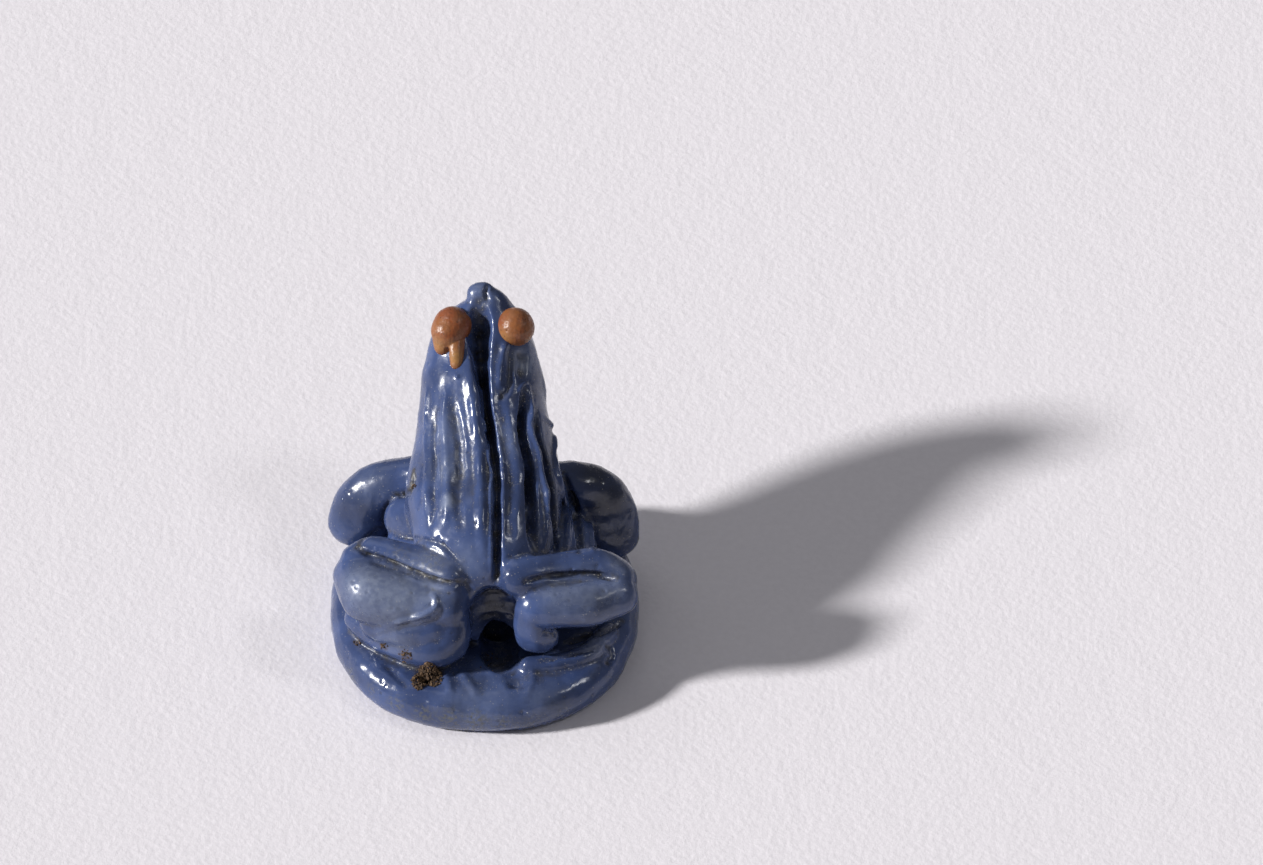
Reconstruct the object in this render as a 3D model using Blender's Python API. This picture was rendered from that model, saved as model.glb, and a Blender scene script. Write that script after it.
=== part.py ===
"""Frog amulet: a squatting frog of blue glass on a low oval base, with two applied orange glass eyes.

Metres, +Z up. X runs to the frog's right, +Y is the way it faces, and the origin is the middle of
the flat underside. The frog and its base are one piece of glass; each eye is a drop of its own.
"""
import math

import bmesh
import bpy
import numpy as np
from mathutils import Matrix, Vector
from mathutils.bvhtree import BVHTree

# Driving dimensions
BASE_WIDTH = 0.0110
BASE_LENGTH = 0.0113
BASE_HEIGHT = 0.0017
BASE_EDGE_ROUND = 0.0007
BASE_SQUARENESS = 0.88  # 1 is a plain ellipse, and less is squarer
UNDERSIDE_GROUND_OFF = 0.00008  # taken off below, where the underside is ground flat
FIGURE_HEIGHT = 0.0090  # the frog's height above the top of the base
FIGURE_SHIFT = 0.00065  # how far the frog's own middle lies in front of the base's
TUNNEL_WIDTH = 0.0016  # suspension hole, from under the rump to under the chest
TUNNEL_HEIGHT = 0.0015
TUNNEL_FLOOR = 0.0012  # height of the hole's floor above the underside
TUNNEL_SHIFT = 0.00058  # the hole runs to the right of the middle
EYE_DIAMETER = 0.00136
EYE_CLEARANCE = 0.0001
GROOVE_WIDTH = 0.00038
GROOVE_DEPTH = 0.00032

# How finely the glass is worked
GRAIN = 0.00011
EYE_GRAIN = 0.00006
FACES_OF_FROG = 7600
FACES_OF_EYE = 400
FACES_OF_TUNNEL = 700
BASE_SIDES = 72
BASE_EDGE_STEPS = 10
BALL_SEGMENTS = 18
BALL_RINGS = 12
BALLS_PER_STEP = 8  # balls between one point of a chain and the next
TOUCHES_PER_STEP = 8  # places felt for the skin between one point of a stroke and the next
FIGURE_SMOOTHING = 6
CARVING_SMOOTHING = 1
TUNNEL_SMOOTHING = 3
EYE_SMOOTHING = 2
SHARP_ANGLE = math.radians(50)
STROKE_END = 0.25  # the share of its depth that a stroke starts and ends with
STROKE_TAPER = 4  # a stroke has its full depth from this part of its length on
MERGE = 1e-8

# The frog is drawn in millimetres at this height above the base, so that every place and radius
# below is a share of FIGURE_HEIGHT.
DRAWN_HEIGHT = 9.0

# Each chain is a row of balls: x, y, z above the top of the base, radius, and the breadth that
# stretches a ball along X.
BACK = (
    (0.0, -2.3, 2.4, 1.15, 1.35),
    (0.0, -1.2, 3.05, 1.75, 1.35),
    (0.0, 0.65, 3.5, 2.0, 1.42),
    (0.0, 2.2, 4.25, 2.0, 1.28),
    (-0.08, 3.65, 5.4, 1.75, 1.28),
    (-0.08, 4.6, 6.3, 1.45, 1.43),
    (-0.05, 5.25, 7.2, 1.15, 1.42),
    (0.15, 5.65, 7.95, 0.72, 1.25),
    (0.2, 5.75, 8.35, 0.45, 1.25),
)
SNOUT = (
    (-0.1, 5.6, 8.1, 0.45, 1.2),
    (-0.12, 5.9, 8.6, 0.39, 1.35),
)
BELLY = (
    (0.0, -2.2, 1.1, 1.4, 1.6),
    (0.25, 0.0, 1.45, 1.8, 2.1),
    (0.1, 1.5, 1.5, 1.6, 1.85),
    (0.0, 1.9, 2.3, 1.45, 1.6),
    (0.0, 2.4, 3.2, 1.45, 1.5),
)
LEFT_ARM = (
    (-1.8, 2.3, 3.0, 0.85, 1.0),
    (-3.2, 2.45, 2.5, 0.85, 1.1),
    (-3.85, 2.45, 2.1, 0.87, 1.3),
    (-4.25, 2.35, 1.4, 0.87, 1.4),
    (-4.45, 2.2, 0.6, 0.85, 1.35),
    (-4.0, 2.9, 0.3, 0.65, 1.3),
    (-3.1, 3.6, 0.2, 0.6, 1.2),
    (-2.1, 4.1, 0.1, 0.5, 1.5),
)
RIGHT_ARM = (
    (2.2, 2.1, 2.7, 0.85, 1.0),
    (3.2, 2.2, 2.65, 0.85, 1.1),
    (3.9, 2.3, 2.2, 0.85, 1.3),
    (4.05, 2.2, 1.6, 0.87, 1.5),
    (4.15, 2.0, 1.1, 0.87, 1.55),
    (4.3, 1.8, 0.4, 0.82, 1.45),
    (4.0, 2.8, 0.2, 0.65, 1.3),
    (3.1, 3.6, 0.2, 0.6, 1.2),
    (2.1, 4.1, 0.1, 0.5, 1.5),
)
LEFT_THIGH = (
    (-1.2, -2.8, 3.0, 0.7, 1.0),
    (-2.6, -2.0, 3.0, 0.62, 1.0),
    (-3.8, -1.5, 2.9, 0.6, 1.0),
    (-4.5, -1.6, 2.6, 0.62, 1.0),
)
RIGHT_THIGH = (
    (1.2, -2.9, 3.1, 0.75, 1.0),
    (2.6, -2.5, 3.0, 0.68, 1.0),
    (4.0, -2.2, 2.9, 0.68, 1.0),
    (4.75, -2.4, 2.5, 0.72, 1.0),
)
LEFT_SHIN = (
    (-4.5, -2.0, 2.2, 0.85, 1.0),
    (-4.0, -2.9, 2.25, 1.05, 1.0),
    (-2.8, -3.2, 2.2, 0.97, 1.0),
    (-1.9, -3.2, 2.25, 0.78, 1.0),
    (-1.5, -3.1, 2.3, 0.65, 1.0),
)
RIGHT_SHIN = (
    (4.7, -3.0, 2.3, 0.78, 1.0),
    (3.6, -3.5, 2.35, 0.8, 1.0),
    (2.5, -3.6, 2.35, 0.8, 1.0),
    (1.9, -3.6, 2.3, 0.77, 1.0),
)
LEFT_FOOT = (
    (-1.15, -3.1, 2.65, 0.6, 1.0),
    (-1.25, -3.4, 1.8, 0.8, 1.0),
    (-1.35, -3.9, 1.0, 0.85, 1.0),
    (-2.0, -4.0, 0.75, 0.8, 1.0),
    (-2.9, -3.6, 0.65, 0.75, 1.0),
    (-3.8, -3.0, 0.5, 0.62, 1.0),
    (-4.5, -2.3, 0.4, 0.5, 1.0),
)
LEFT_HEEL = (
    (-3.7, -3.2, 1.3, 0.75, 1.0),
    (-2.8, -3.5, 1.4, 0.92, 1.0),
    (-1.9, -3.6, 1.5, 0.9, 1.0),
    (-1.35, -3.5, 1.6, 0.8, 1.0),
    (-1.35, -3.45, 2.2, 0.78, 1.0),
    (-2.2, -3.4, 2.1, 0.88, 1.0),
)
LEFT_FLANK = (
    (-2.85, 1.1, 2.2, 0.62, 1.0),
    (-2.45, 0.6, 2.2, 0.72, 1.0),
)
RIGHT_FOOT = (
    (1.75, -3.6, 2.2, 0.66, 1.0),
    (1.8, -3.75, 1.4, 0.66, 1.0),
    (2.05, -3.8, 0.95, 0.55, 1.0),
    (2.25, -3.75, 0.95, 0.45, 1.0),
)
RIGHT_TOES = (
    (1.6, -4.3, 0.05, 0.34, 1.0),
    (2.6, -4.2, 0.1, 0.34, 1.0),
    (3.7, -3.7, 0.1, 0.36, 1.0),
    (4.35, -2.7, 0.1, 0.4, 1.0),
)
# A flap of glass that stands out beside the right eye.
RIGHT_FLAP = (
    (1.75, 4.3, 6.1, 0.3, 1.0),
    (1.98, 3.85, 5.6, 0.24, 1.0),
    (2.02, 3.6, 5.3, 0.18, 1.0),
)
CHAINS = (
    BACK, SNOUT, BELLY, LEFT_ARM, RIGHT_ARM, LEFT_THIGH, RIGHT_THIGH, LEFT_SHIN, RIGHT_SHIN,
    LEFT_FOOT, LEFT_HEEL, LEFT_FLANK, RIGHT_FOOT, RIGHT_TOES, RIGHT_FLAP,
)
# The way of the carrying hole from the rear: x and z beside its middle as shares of its width, y as
# a share of BASE_LENGTH, and the share of its full width that it has there.
TUNNEL_WAY = (
    (0.12, -0.38, 0.31, 0.6),
    (0.06, -0.35, 0.16, 0.85),
    (0.0, -0.30, 0.0, 1.0),
    (0.0, -0.20, 0.0, 1.0),
    (0.0, 0.20, 0.0, 1.0),
    (-0.18, 0.60, 0.0, 1.0),
)

# Carved strokes, laid out as the carver sees the back: x across and u up, in millimetres of the
# drawing, in the plane square to a line of sight from behind and 45 degrees above. Each has its
# points, and its half-width and depth as shares of GROOVE_WIDTH and GROOVE_DEPTH. A negative
# depth raises a ridge.
CLEFT = ((-0.1, 10.5), (-0.12, 9.9), (-0.08, 9.2), (0.05, 8.5), (0.2, 7.8), (0.3, 7.2))
MIDDLE_GROOVE = (
    (0.2, 7.8), (0.32, 7.0), (0.42, 6.2), (0.48, 5.4), (0.5, 4.4), (0.5, 3.4), (0.48, 2.3), (0.42, 1.4),
)
STROKES = (
    (CLEFT, 1.15, 2.6),
    (MIDDLE_GROOVE, 0.62, 1.5),
    (((-0.5, 9.8), (-0.35, 8.9), (-0.1, 7.8), (0.08, 6.6), (0.2, 5.2), (0.15, 3.8), (0.2, 2.0)), 0.5, -0.45),
    (((-1.1, 7.6), (-1.05, 6.9), (-0.9, 6.1), (-0.8, 5.2), (-0.8, 4.2), (-0.75, 3.2), (-0.7, 2.5)), 0.75, 0.75),
    (((-1.9, 8.0), (-1.95, 7.0), (-1.8, 6.1), (-1.75, 5.2), (-1.75, 4.3), (-1.8, 3.2)), 0.7, 0.75),
    (((-0.6, 7.6), (-0.5, 6.2), (-0.45, 4.8), (-0.4, 3.2)), 0.7, -0.35),
    (((-1.4, 7.6), (-1.45, 6.0), (-1.35, 4.6), (-1.3, 3.4)), 0.6, -0.35),
    (((1.4, 8.1), (1.3, 7.2), (1.3, 6.4), (1.4, 5.7), (1.5, 4.8), (1.5, 3.8), (1.5, 3.0), (1.55, 2.2)), 0.75, 2.0),
    (((1.62, 7.7), (1.65, 6.8), (1.75, 6.0), (2.0, 5.0), (2.2, 4.0), (2.2, 3.2), (2.1, 2.5)), 0.6, -0.8),
    (((1.92, 7.0), (1.88, 6.3), (2.05, 5.5), (2.2, 4.9), (2.42, 4.0), (2.42, 3.2), (2.4, 2.5)), 0.55, 1.4),
    (((2.3, 6.6), (2.45, 5.8), (2.55, 4.9), (2.8, 4.0), (2.95, 3.2), (2.85, 2.5)), 0.6, -0.9),
    (((2.75, 5.2), (2.9, 4.5), (3.1, 3.9), (3.15, 3.2), (3.3, 2.5)), 0.6, 1.4),
    (((-4.4, 1.95), (-3.6, 1.9), (-2.9, 1.7), (-2.3, 1.45), (-1.7, 1.2), (-1.2, 1.15)), 0.6, 0.8),
    (((1.5, 1.15), (2.1, 1.35), (2.9, 1.42), (3.6, 1.45), (4.2, 1.4), (4.6, 1.25)), 0.6, 0.8),
    (((-1.36, 0.4), (-1.6, 0.0), (-2.2, -0.2), (-3.1, -0.35), (-3.7, -0.45)), 0.5, 0.35),
    (((0.32, 0.86), (0.32, 0.25), (0.32, -0.36), (0.36, -0.86)), 2.0, 1.5),
    (((0.55, -1.9), (0.7, -2.2), (0.85, -2.5)), 1.7, 0.9),
    (((-1.95, -2.05), (-1.9, -2.2)), 1.3, 1.6),
    (((-1.35, -2.0), (-1.3, -2.1)), 0.8, -0.5),
    (((-0.65, -2.2), (-0.6, -2.3)), 0.8, -0.5),
)
# The mouth, laid out as the carver sees the face from in front: x across and u up.
FACE_STROKES = (
    (((-1.7, 6.3), (-1.2, 6.75), (-0.5, 6.95), (0.2, 7.0), (0.8, 6.9), (1.3, 6.65), (1.7, 6.25)), 0.6, 0.8),
    (((-0.42, 8.15), (-0.4, 8.1)), 0.45, 0.9),
    (((0.42, 8.05), (0.4, 8.0)), 0.45, 0.9),
)
FROM_BEHIND = (Vector((0, -1, 1)).normalized(), Vector((0, 1, 1)).normalized())
FROM_FRONT = (Vector((0, 1, 0)), Vector((0, 0, 1)))

# The eyes' balls: x, y, z above the top of the base, and radius as a share of the eye's own.
LEFT_EYE = (
    ((-1.12, 4.9, 7.85, 1.0), (-1.25, 4.7, 7.75, 0.95)),
    ((-1.4, 4.6, 7.5, 0.66), (-1.45, 4.4, 7.3, 0.5)),
    ((-1.0, 4.4, 7.6, 0.5), (-0.98, 4.0, 7.4, 0.42), (-0.98, 3.8, 7.2, 0.36), (-0.98, 3.7, 7.1, 0.32)),
)
RIGHT_EYE = (
    ((1.1, 4.9, 7.8, 1.0), (1.12, 4.85, 7.8, 1.0)),
)


def drawn(length):
    """Turns a length of the drawing into metres."""
    return length * FIGURE_HEIGHT / DRAWN_HEIGHT


def place(x, y, z):
    """Turns a point of the drawing into a point of the amulet."""
    return Vector((drawn(x), drawn(y) + FIGURE_SHIFT, drawn(z) + BASE_HEIGHT))


def along(keys, share):
    """A point on the smooth Catmull-Rom curve through the keys, at a share of its length."""
    spot = share * (len(keys) - 1)
    first = min(int(spot), len(keys) - 2)
    t = spot - first
    before = keys[max(first - 1, 0)]
    after = keys[min(first + 2, len(keys) - 1)]
    return [
        0.5 * (2 * b + (c - a) * t + (2 * a - 5 * b + 4 * c - d) * t ** 2 + (3 * b - a - 3 * c + d) * t ** 3)
        for a, b, c, d in zip(before, keys[first], keys[first + 1], after)
    ]


def unit_ball():
    """A ball of radius 1, the pattern for every ball of the figure."""
    bm = bmesh.new()
    bmesh.ops.create_uvsphere(bm, u_segments=BALL_SEGMENTS, v_segments=BALL_RINGS, radius=1)
    mesh = bpy.data.meshes.new("ball")
    bm.to_mesh(mesh)
    bm.free()
    return mesh


def add_ball(bm, ball, centre, radius, breadth=1.0):
    """Adds one ball, stretched along X by its breadth."""
    shape = Matrix.Translation(centre) @ Matrix.Diagonal((breadth * radius, radius, radius, 1))
    ball.transform(shape)
    bm.from_mesh(ball)
    ball.transform(shape.inverted())


def add_limb(bm, ball, keys):
    """Adds a limb: balls set so close along a smooth curve that they make one round form."""
    count = BALLS_PER_STEP * (len(keys) - 1) + 1
    for index in range(count):
        x, y, z, radius, breadth = along(keys, index / (count - 1))
        add_ball(bm, ball, place(x, y, z), drawn(radius), breadth)


def base_level(inset, height):
    """One level of the base: a superellipse, a little squarer than an ellipse."""
    points = []
    for index in range(BASE_SIDES):
        angle = 2 * math.pi * index / BASE_SIDES
        across, ahead = math.cos(angle), math.sin(angle)
        points.append((
            math.copysign(abs(across) ** BASE_SQUARENESS, across) * (BASE_WIDTH / 2 - inset),
            math.copysign(abs(ahead) ** BASE_SQUARENESS, ahead) * (BASE_LENGTH / 2 - inset),
            height,
        ))
    return points


def add_base(bm):
    """Adds the oval base, a thick disc with a round edge."""
    loops = []
    for index in range(BASE_EDGE_STEPS + 1):
        angle = math.pi * (index / BASE_EDGE_STEPS - 0.5)
        inset = BASE_EDGE_ROUND * (1 - math.cos(angle))
        height = BASE_HEIGHT / 2 * (1 + math.sin(angle))
        loops.append([bm.verts.new(point) for point in base_level(inset, height)])
    for low, high in zip(loops, loops[1:]):
        for index in range(len(low)):
            other = (index + 1) % len(low)
            bm.faces.new((low[index], low[other], high[other], high[index]))
    bm.faces.new(list(reversed(loops[0])))
    bm.faces.new(loops[-1])


def clear_scene():
    """Removes every object that is there before the amulet is made."""
    for item in list(bpy.data.objects):
        bpy.data.objects.remove(item, do_unlink=True)


def to_object(bm, name):
    """Puts a bmesh into the scene as an object."""
    mesh = bpy.data.meshes.new(name)
    bm.to_mesh(mesh)
    bm.free()
    item = bpy.data.objects.new(name, mesh)
    bpy.context.scene.collection.objects.link(item)
    return item


def settle(item):
    """Turns an object's modifiers into its own mesh."""
    depsgraph = bpy.context.evaluated_depsgraph_get()
    mesh = bpy.data.meshes.new_from_object(item.evaluated_get(depsgraph))
    item.modifiers.clear()
    item.data = mesh


def fuse(item, grain, rounds):
    """Melts the forms of an object into one skin and rounds the joins."""
    remesh = item.modifiers.new("Fuse", "REMESH")
    remesh.mode = "VOXEL"
    remesh.voxel_size = grain
    smooth = item.modifiers.new("Melt", "SMOOTH")
    smooth.factor = 0.5
    smooth.iterations = rounds
    settle(item)


def thin_out(item, faces):
    """Brings a skin down to about so many triangles, most of them where it bends."""
    triangles = sum(len(face.vertices) - 2 for face in item.data.polygons)
    decimate = item.modifiers.new("Thin out", "DECIMATE")
    decimate.ratio = min(1.0, faces / triangles)
    decimate.use_collapse_triangulate = True
    settle(item)


def cut(item, cutter):
    """Cuts one object out of another and takes the cutter away."""
    boolean = item.modifiers.new("Cut", "BOOLEAN")
    boolean.operation = "DIFFERENCE"
    boolean.solver = "EXACT"
    boolean.object = cutter
    settle(item)
    bpy.data.objects.remove(cutter, do_unlink=True)


def on_skin(tree, view, x, u):
    """The point and normal where the carver's line of sight first meets the glass."""
    toward_carver, up = view
    aim = Vector((drawn(x), FIGURE_SHIFT, 0)) + up * drawn(u)
    point, normal, _, _ = tree.ray_cast(aim + toward_carver * BASE_LENGTH * 4, -toward_carver)
    return point, normal


def carve(item, strokes, view):
    """Sinks the grooves of one side into the skin and raises the ridges between them."""
    mesh = item.data
    bm = bmesh.new()
    bm.from_mesh(mesh)
    tree = BVHTree.FromBMesh(bm)
    bm.free()
    count = len(mesh.vertices)
    points = np.empty(count * 3, dtype=np.float32)
    mesh.vertices.foreach_get("co", points)
    points = points.reshape(count, 3)
    moved = points.copy()
    for keys, width, depth in strokes:
        steps = TOUCHES_PER_STEP * (len(keys) - 1)
        touched = [on_skin(tree, view, *along(keys, index / steps)) for index in range(steps + 1)]
        touched = [(point, normal) for point, normal in touched if point is not None]
        path = np.array([point for point, _ in touched])
        normals = np.array([normal for _, normal in touched])
        nearest = np.full(count, np.inf)
        which = np.zeros(count, dtype=int)
        for index, spot in enumerate(path):
            distance = np.linalg.norm(points - spot, axis=1)
            closer = distance < nearest
            nearest[closer] = distance[closer]
            which[closer] = index
        reach = width * GROOVE_WIDTH
        bite = np.clip(1 - (nearest / reach) ** 2, 0, None) ** 2
        from_end = np.minimum(which, len(path) - 1 - which) / len(path)
        taper = np.minimum(1, STROKE_TAPER * from_end + STROKE_END)
        moved -= normals[which] * (bite * taper * depth * GROOVE_DEPTH)[:, None]
    mesh.vertices.foreach_set("co", moved.ravel().astype(np.float32))
    mesh.update()


def tunnel_cutter():
    """The suspension hole: a round passage along the base's top that rises to its rear edge."""
    stretch = TUNNEL_HEIGHT / TUNNEL_WIDTH
    level = TUNNEL_FLOOR + TUNNEL_HEIGHT / 2
    bm = bmesh.new()
    ball = unit_ball()
    count = BALLS_PER_STEP * (len(TUNNEL_WAY) - 1) + 1
    for index in range(count):
        x, y, z, share = along(TUNNEL_WAY, index / (count - 1))
        spot = (TUNNEL_SHIFT + x * TUNNEL_WIDTH, y * BASE_LENGTH, level + z * TUNNEL_WIDTH)
        radius = TUNNEL_WIDTH / 2 * share
        size = Matrix.Translation(spot) @ Matrix.Diagonal((radius, radius, radius * stretch, 1))
        ball.transform(size)
        bm.from_mesh(ball)
        ball.transform(size.inverted())
    cutter = to_object(bm, "tunnel_cutter")
    fuse(cutter, GRAIN, TUNNEL_SMOOTHING)
    thin_out(cutter, FACES_OF_TUNNEL)
    return cutter


def build_eye(name, rows, extra, faces):
    """Builds one eye from its balls. extra is added to every radius, to cut the eye's seat."""
    bm = bmesh.new()
    ball = unit_ball()
    for keys in rows:
        count = BALLS_PER_STEP * (len(keys) - 1) + 1
        for index in range(count):
            x, y, z, share = along(keys, index / (count - 1))
            add_ball(bm, ball, place(x, y, z), EYE_DIAMETER / 2 * share + extra)
    eye = to_object(bm, name)
    fuse(eye, EYE_GRAIN, EYE_SMOOTHING)
    thin_out(eye, faces)
    return eye


def flatten_underside(item):
    """Makes the underside one true flat face at height 0."""
    bm = bmesh.new()
    bm.from_mesh(item.data)
    bmesh.ops.bisect_plane(
        bm, geom=bm.verts[:] + bm.edges[:] + bm.faces[:], dist=MERGE,
        plane_co=(0, 0, UNDERSIDE_GROUND_OFF), plane_no=(0, 0, 1), clear_inner=True,
    )
    rim = [edge for edge in bm.edges if edge.is_boundary]
    bmesh.ops.contextual_create(bm, geom=rim)
    bmesh.ops.translate(bm, verts=bm.verts, vec=(0, 0, -UNDERSIDE_GROUND_OFF))
    bmesh.ops.recalc_face_normals(bm, faces=bm.faces)
    bm.to_mesh(item.data)
    bm.free()


def glass(name, colour, roughness):
    """A plain opaque glass of one colour."""
    material = bpy.data.materials.new(name)
    material.use_nodes = True
    shader = material.node_tree.nodes["Principled BSDF"]
    shader.inputs["Base Color"].default_value = (*colour, 1)
    shader.inputs["Roughness"].default_value = roughness
    return material


def finish(item, material):
    """Gives an object its glass and smooth shading."""
    item.data.materials.clear()
    item.data.materials.append(material)
    item.data.shade_smooth()
    item.data.set_sharp_from_angle(angle=SHARP_ANGLE)


def build_frog():
    """Builds the frog and its base as one piece of glass."""
    bm = bmesh.new()
    add_base(bm)
    ball = unit_ball()
    for chain in CHAINS:
        add_limb(bm, ball, chain)
    frog = to_object(bm, "frog_and_base")
    fuse(frog, GRAIN, FIGURE_SMOOTHING)
    carve(frog, STROKES, FROM_BEHIND)
    carve(frog, FACE_STROKES, FROM_FRONT)
    fuse(frog, GRAIN, CARVING_SMOOTHING)
    thin_out(frog, FACES_OF_FROG)
    cut(frog, tunnel_cutter())
    cut(frog, build_eye("left_seat", LEFT_EYE, EYE_CLEARANCE, FACES_OF_EYE))
    cut(frog, build_eye("right_seat", RIGHT_EYE, EYE_CLEARANCE, FACES_OF_EYE))
    flatten_underside(frog)
    return frog


def main():
    """Builds the amulet."""
    clear_scene()
    blue = glass("blue_glass", (0.055, 0.085, 0.21), 0.25)
    orange = glass("orange_glass", (0.33, 0.10, 0.035), 0.3)
    finish(build_frog(), blue)
    finish(build_eye("left_eye", LEFT_EYE, 0, FACES_OF_EYE), orange)
    finish(build_eye("right_eye", RIGHT_EYE, 0, FACES_OF_EYE), orange)


main()
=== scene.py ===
"""Frog amulet: the looks of a small glass amulet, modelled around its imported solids.

Lengths are in millimetres of the amulet while a piece is worked, and each finished piece is turned
into metres at the end. Strokes and spots are laid out in pixels of the reference photograph, which
looks at the amulet from behind and from 45 degrees above, and are felt for on the skin from there.
"""
import logging
import math
import random
from dataclasses import dataclass, field
from enum import Enum

import bmesh
import bpy
import numpy as np
from mathutils import Matrix, Vector, noise
from mathutils.bvhtree import BVHTree


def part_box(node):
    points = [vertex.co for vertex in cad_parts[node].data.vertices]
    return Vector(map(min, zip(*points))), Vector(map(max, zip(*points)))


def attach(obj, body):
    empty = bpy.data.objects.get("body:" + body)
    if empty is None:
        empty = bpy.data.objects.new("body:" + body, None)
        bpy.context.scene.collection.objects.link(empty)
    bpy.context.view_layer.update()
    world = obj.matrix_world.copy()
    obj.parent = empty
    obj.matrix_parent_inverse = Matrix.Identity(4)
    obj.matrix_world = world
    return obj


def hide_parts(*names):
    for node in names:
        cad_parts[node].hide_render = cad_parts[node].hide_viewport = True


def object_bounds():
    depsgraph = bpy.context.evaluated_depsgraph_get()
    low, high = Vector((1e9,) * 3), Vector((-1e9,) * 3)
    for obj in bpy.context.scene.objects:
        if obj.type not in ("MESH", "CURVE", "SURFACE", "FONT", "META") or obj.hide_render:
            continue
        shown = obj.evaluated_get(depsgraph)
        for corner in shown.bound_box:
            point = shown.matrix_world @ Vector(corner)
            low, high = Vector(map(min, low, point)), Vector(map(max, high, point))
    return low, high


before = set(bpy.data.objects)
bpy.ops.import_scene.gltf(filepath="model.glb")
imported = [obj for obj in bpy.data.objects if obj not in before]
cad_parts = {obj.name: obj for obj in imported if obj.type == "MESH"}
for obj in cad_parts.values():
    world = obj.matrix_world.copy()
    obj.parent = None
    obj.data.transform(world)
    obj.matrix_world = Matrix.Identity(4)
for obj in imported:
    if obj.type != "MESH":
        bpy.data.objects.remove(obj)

LOG = logging.getLogger("frog_amulet")
BODY = "root"
CAD_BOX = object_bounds()

# The numbers that each point of the skin keeps for the materials.
SOIL = "soil"
# haze of weathering, and painted reflection of the studio on the right cheek and the right shin
HAZE_AND_REFLECTION = "haze_and_reflection"
# painted shade on the right arm and the rump, and darker patches on the left arm, the feet and the right shin
PAINTED_SHADE_AND_DARK_PATCHES = "painted_shade_and_dark_patches"
CRUST = "crust"
EARTH = "earth"
RIM = "rim"

# One millimetre of the drawing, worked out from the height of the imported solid.
DRAWN_TOP = 10.587
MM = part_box("frog_and_base")[1].z / DRAWN_TOP

# The photograph's frame: its size, its scale at the amulet, and the pixel where the middle of the
# figure's foot line lies.
IMAGE_SIZE = (1263, 865)
PIXELS_PER_MM = 28.0
FOOT_PIXEL = (485.0, 612.0)
VIEW_ELEVATION = math.radians(45)

BASE_HEIGHT = 1.7
FIGURE_SHIFT = 0.65

# How far one round of smoothing moves a point towards its neighbours' middle.
SMOOTHING = 0.5

Point = tuple[float, ...]
Path = tuple[Point, ...]
Colour = tuple[float, float, float]


class Side(Enum):
    """A side from which the skin is felt for: the direction to the worker, and up as seen from it."""

    BACK = (Vector((0, -1, 1)).normalized(), Vector((0, 1, 1)).normalized())
    FACE = (Vector((0, 1, 0)), Vector((0, 0, 1)))


class Bite(Enum):
    """How the sides of a stroke fall, as the power of a round profile."""

    BELL = 2.0
    ROUND = 1.0


@dataclass(frozen=True)
class Stroke:
    """A mark of the glassworker's tool: a groove, or a ridge where its depth is below 0.

    Its path is in pixels of the photograph, with the half-width in pixels as a third number. depth
    is in millimetres, and soil is the share of dirt that lies in it.
    """

    path: Path
    depth: float
    bite: Bite = Bite.BELL
    soil: float = 0.0
    side: Side = Side.BACK


@dataclass(frozen=True)
class Spot:
    """A round patch of the skin, at a pixel of the photograph, with its radius in pixels."""

    x: float
    y: float
    radius: float
    amount: float = 1.0


def along(keys: Path, share: float) -> list[float]:
    """Reads the smooth Catmull-Rom curve through some points.

    Args:
        keys: the points, each with the same count of numbers.
        share: how far along the curve to read, from 0 to 1.

    Returns:
        The numbers of the point there.
    """
    spot = share * (len(keys) - 1)
    first = min(int(spot), len(keys) - 2)
    t = spot - first
    before = keys[max(first - 1, 0)]
    after = keys[min(first + 2, len(keys) - 1)]
    return [
        0.5 * (
            2 * b + (c - a) * t + (2 * a - 5 * b + 4 * c - d) * t ** 2
            + (3 * b - a - 3 * c + d) * t ** 3
        )
        for a, b, c, d in zip(before, keys[first], keys[first + 1], after)
    ]


def to_object(bm: bmesh.types.BMesh, name: str) -> bpy.types.Object:
    """Puts a bmesh into the scene as an object of that name, and frees the bmesh."""
    mesh = bpy.data.meshes.new(name)
    bm.to_mesh(mesh)
    bm.free()
    item = bpy.data.objects.new(name, mesh)
    bpy.context.scene.collection.objects.link(item)
    return item


def settle(item: bpy.types.Object) -> None:
    """Turns an object's modifiers into its own mesh."""
    depsgraph = bpy.context.evaluated_depsgraph_get()
    mesh = bpy.data.meshes.new_from_object(item.evaluated_get(depsgraph))
    old = item.data
    item.modifiers.clear()
    item.data = mesh
    bpy.data.meshes.remove(old)


def melt(item: bpy.types.Object, grain: float, rounds: int) -> None:
    """Melts the forms of an object into one skin.

    Args:
        item: the object, in millimetres.
        grain: the size of the skin's cells.
        rounds: how many times the skin is smoothed.
    """
    remesh = item.modifiers.new("Melt", "REMESH")
    remesh.mode = "VOXEL"
    remesh.voxel_size = grain
    if rounds:
        smooth = item.modifiers.new("Relax", "SMOOTH")
        smooth.factor = SMOOTHING
        smooth.iterations = rounds
    settle(item)


def triangles(item: bpy.types.Object) -> int:
    """Counts the triangles that a mesh comes to."""
    return sum(len(face.vertices) - 2 for face in item.data.polygons)


def thin_out(item: bpy.types.Object, faces: int) -> None:
    """Brings a skin down to so many triangles, most of them where it bends."""
    decimate = item.modifiers.new("Thin out", "DECIMATE")
    decimate.ratio = min(1.0, faces / triangles(item))
    decimate.use_collapse_triangulate = True
    settle(item)


def sweep(item: bpy.types.Object, least: int) -> None:
    """Takes away loose islands of a mesh that have fewer points than the least."""
    bm = bmesh.new()
    bm.from_mesh(item.data)
    bm.verts.ensure_lookup_table()
    seen = [False] * len(bm.verts)
    loose = []
    for start in bm.verts:
        if seen[start.index]:
            continue
        seen[start.index] = True
        island = [start]
        for vert in island:
            for edge in vert.link_edges:
                other = edge.other_vert(vert)
                if not seen[other.index]:
                    seen[other.index] = True
                    island.append(other)
        if len(island) < least:
            loose.extend(island)
    bmesh.ops.delete(bm, geom=loose, context="VERTS")
    bm.to_mesh(item.data)
    bm.free()


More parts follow.
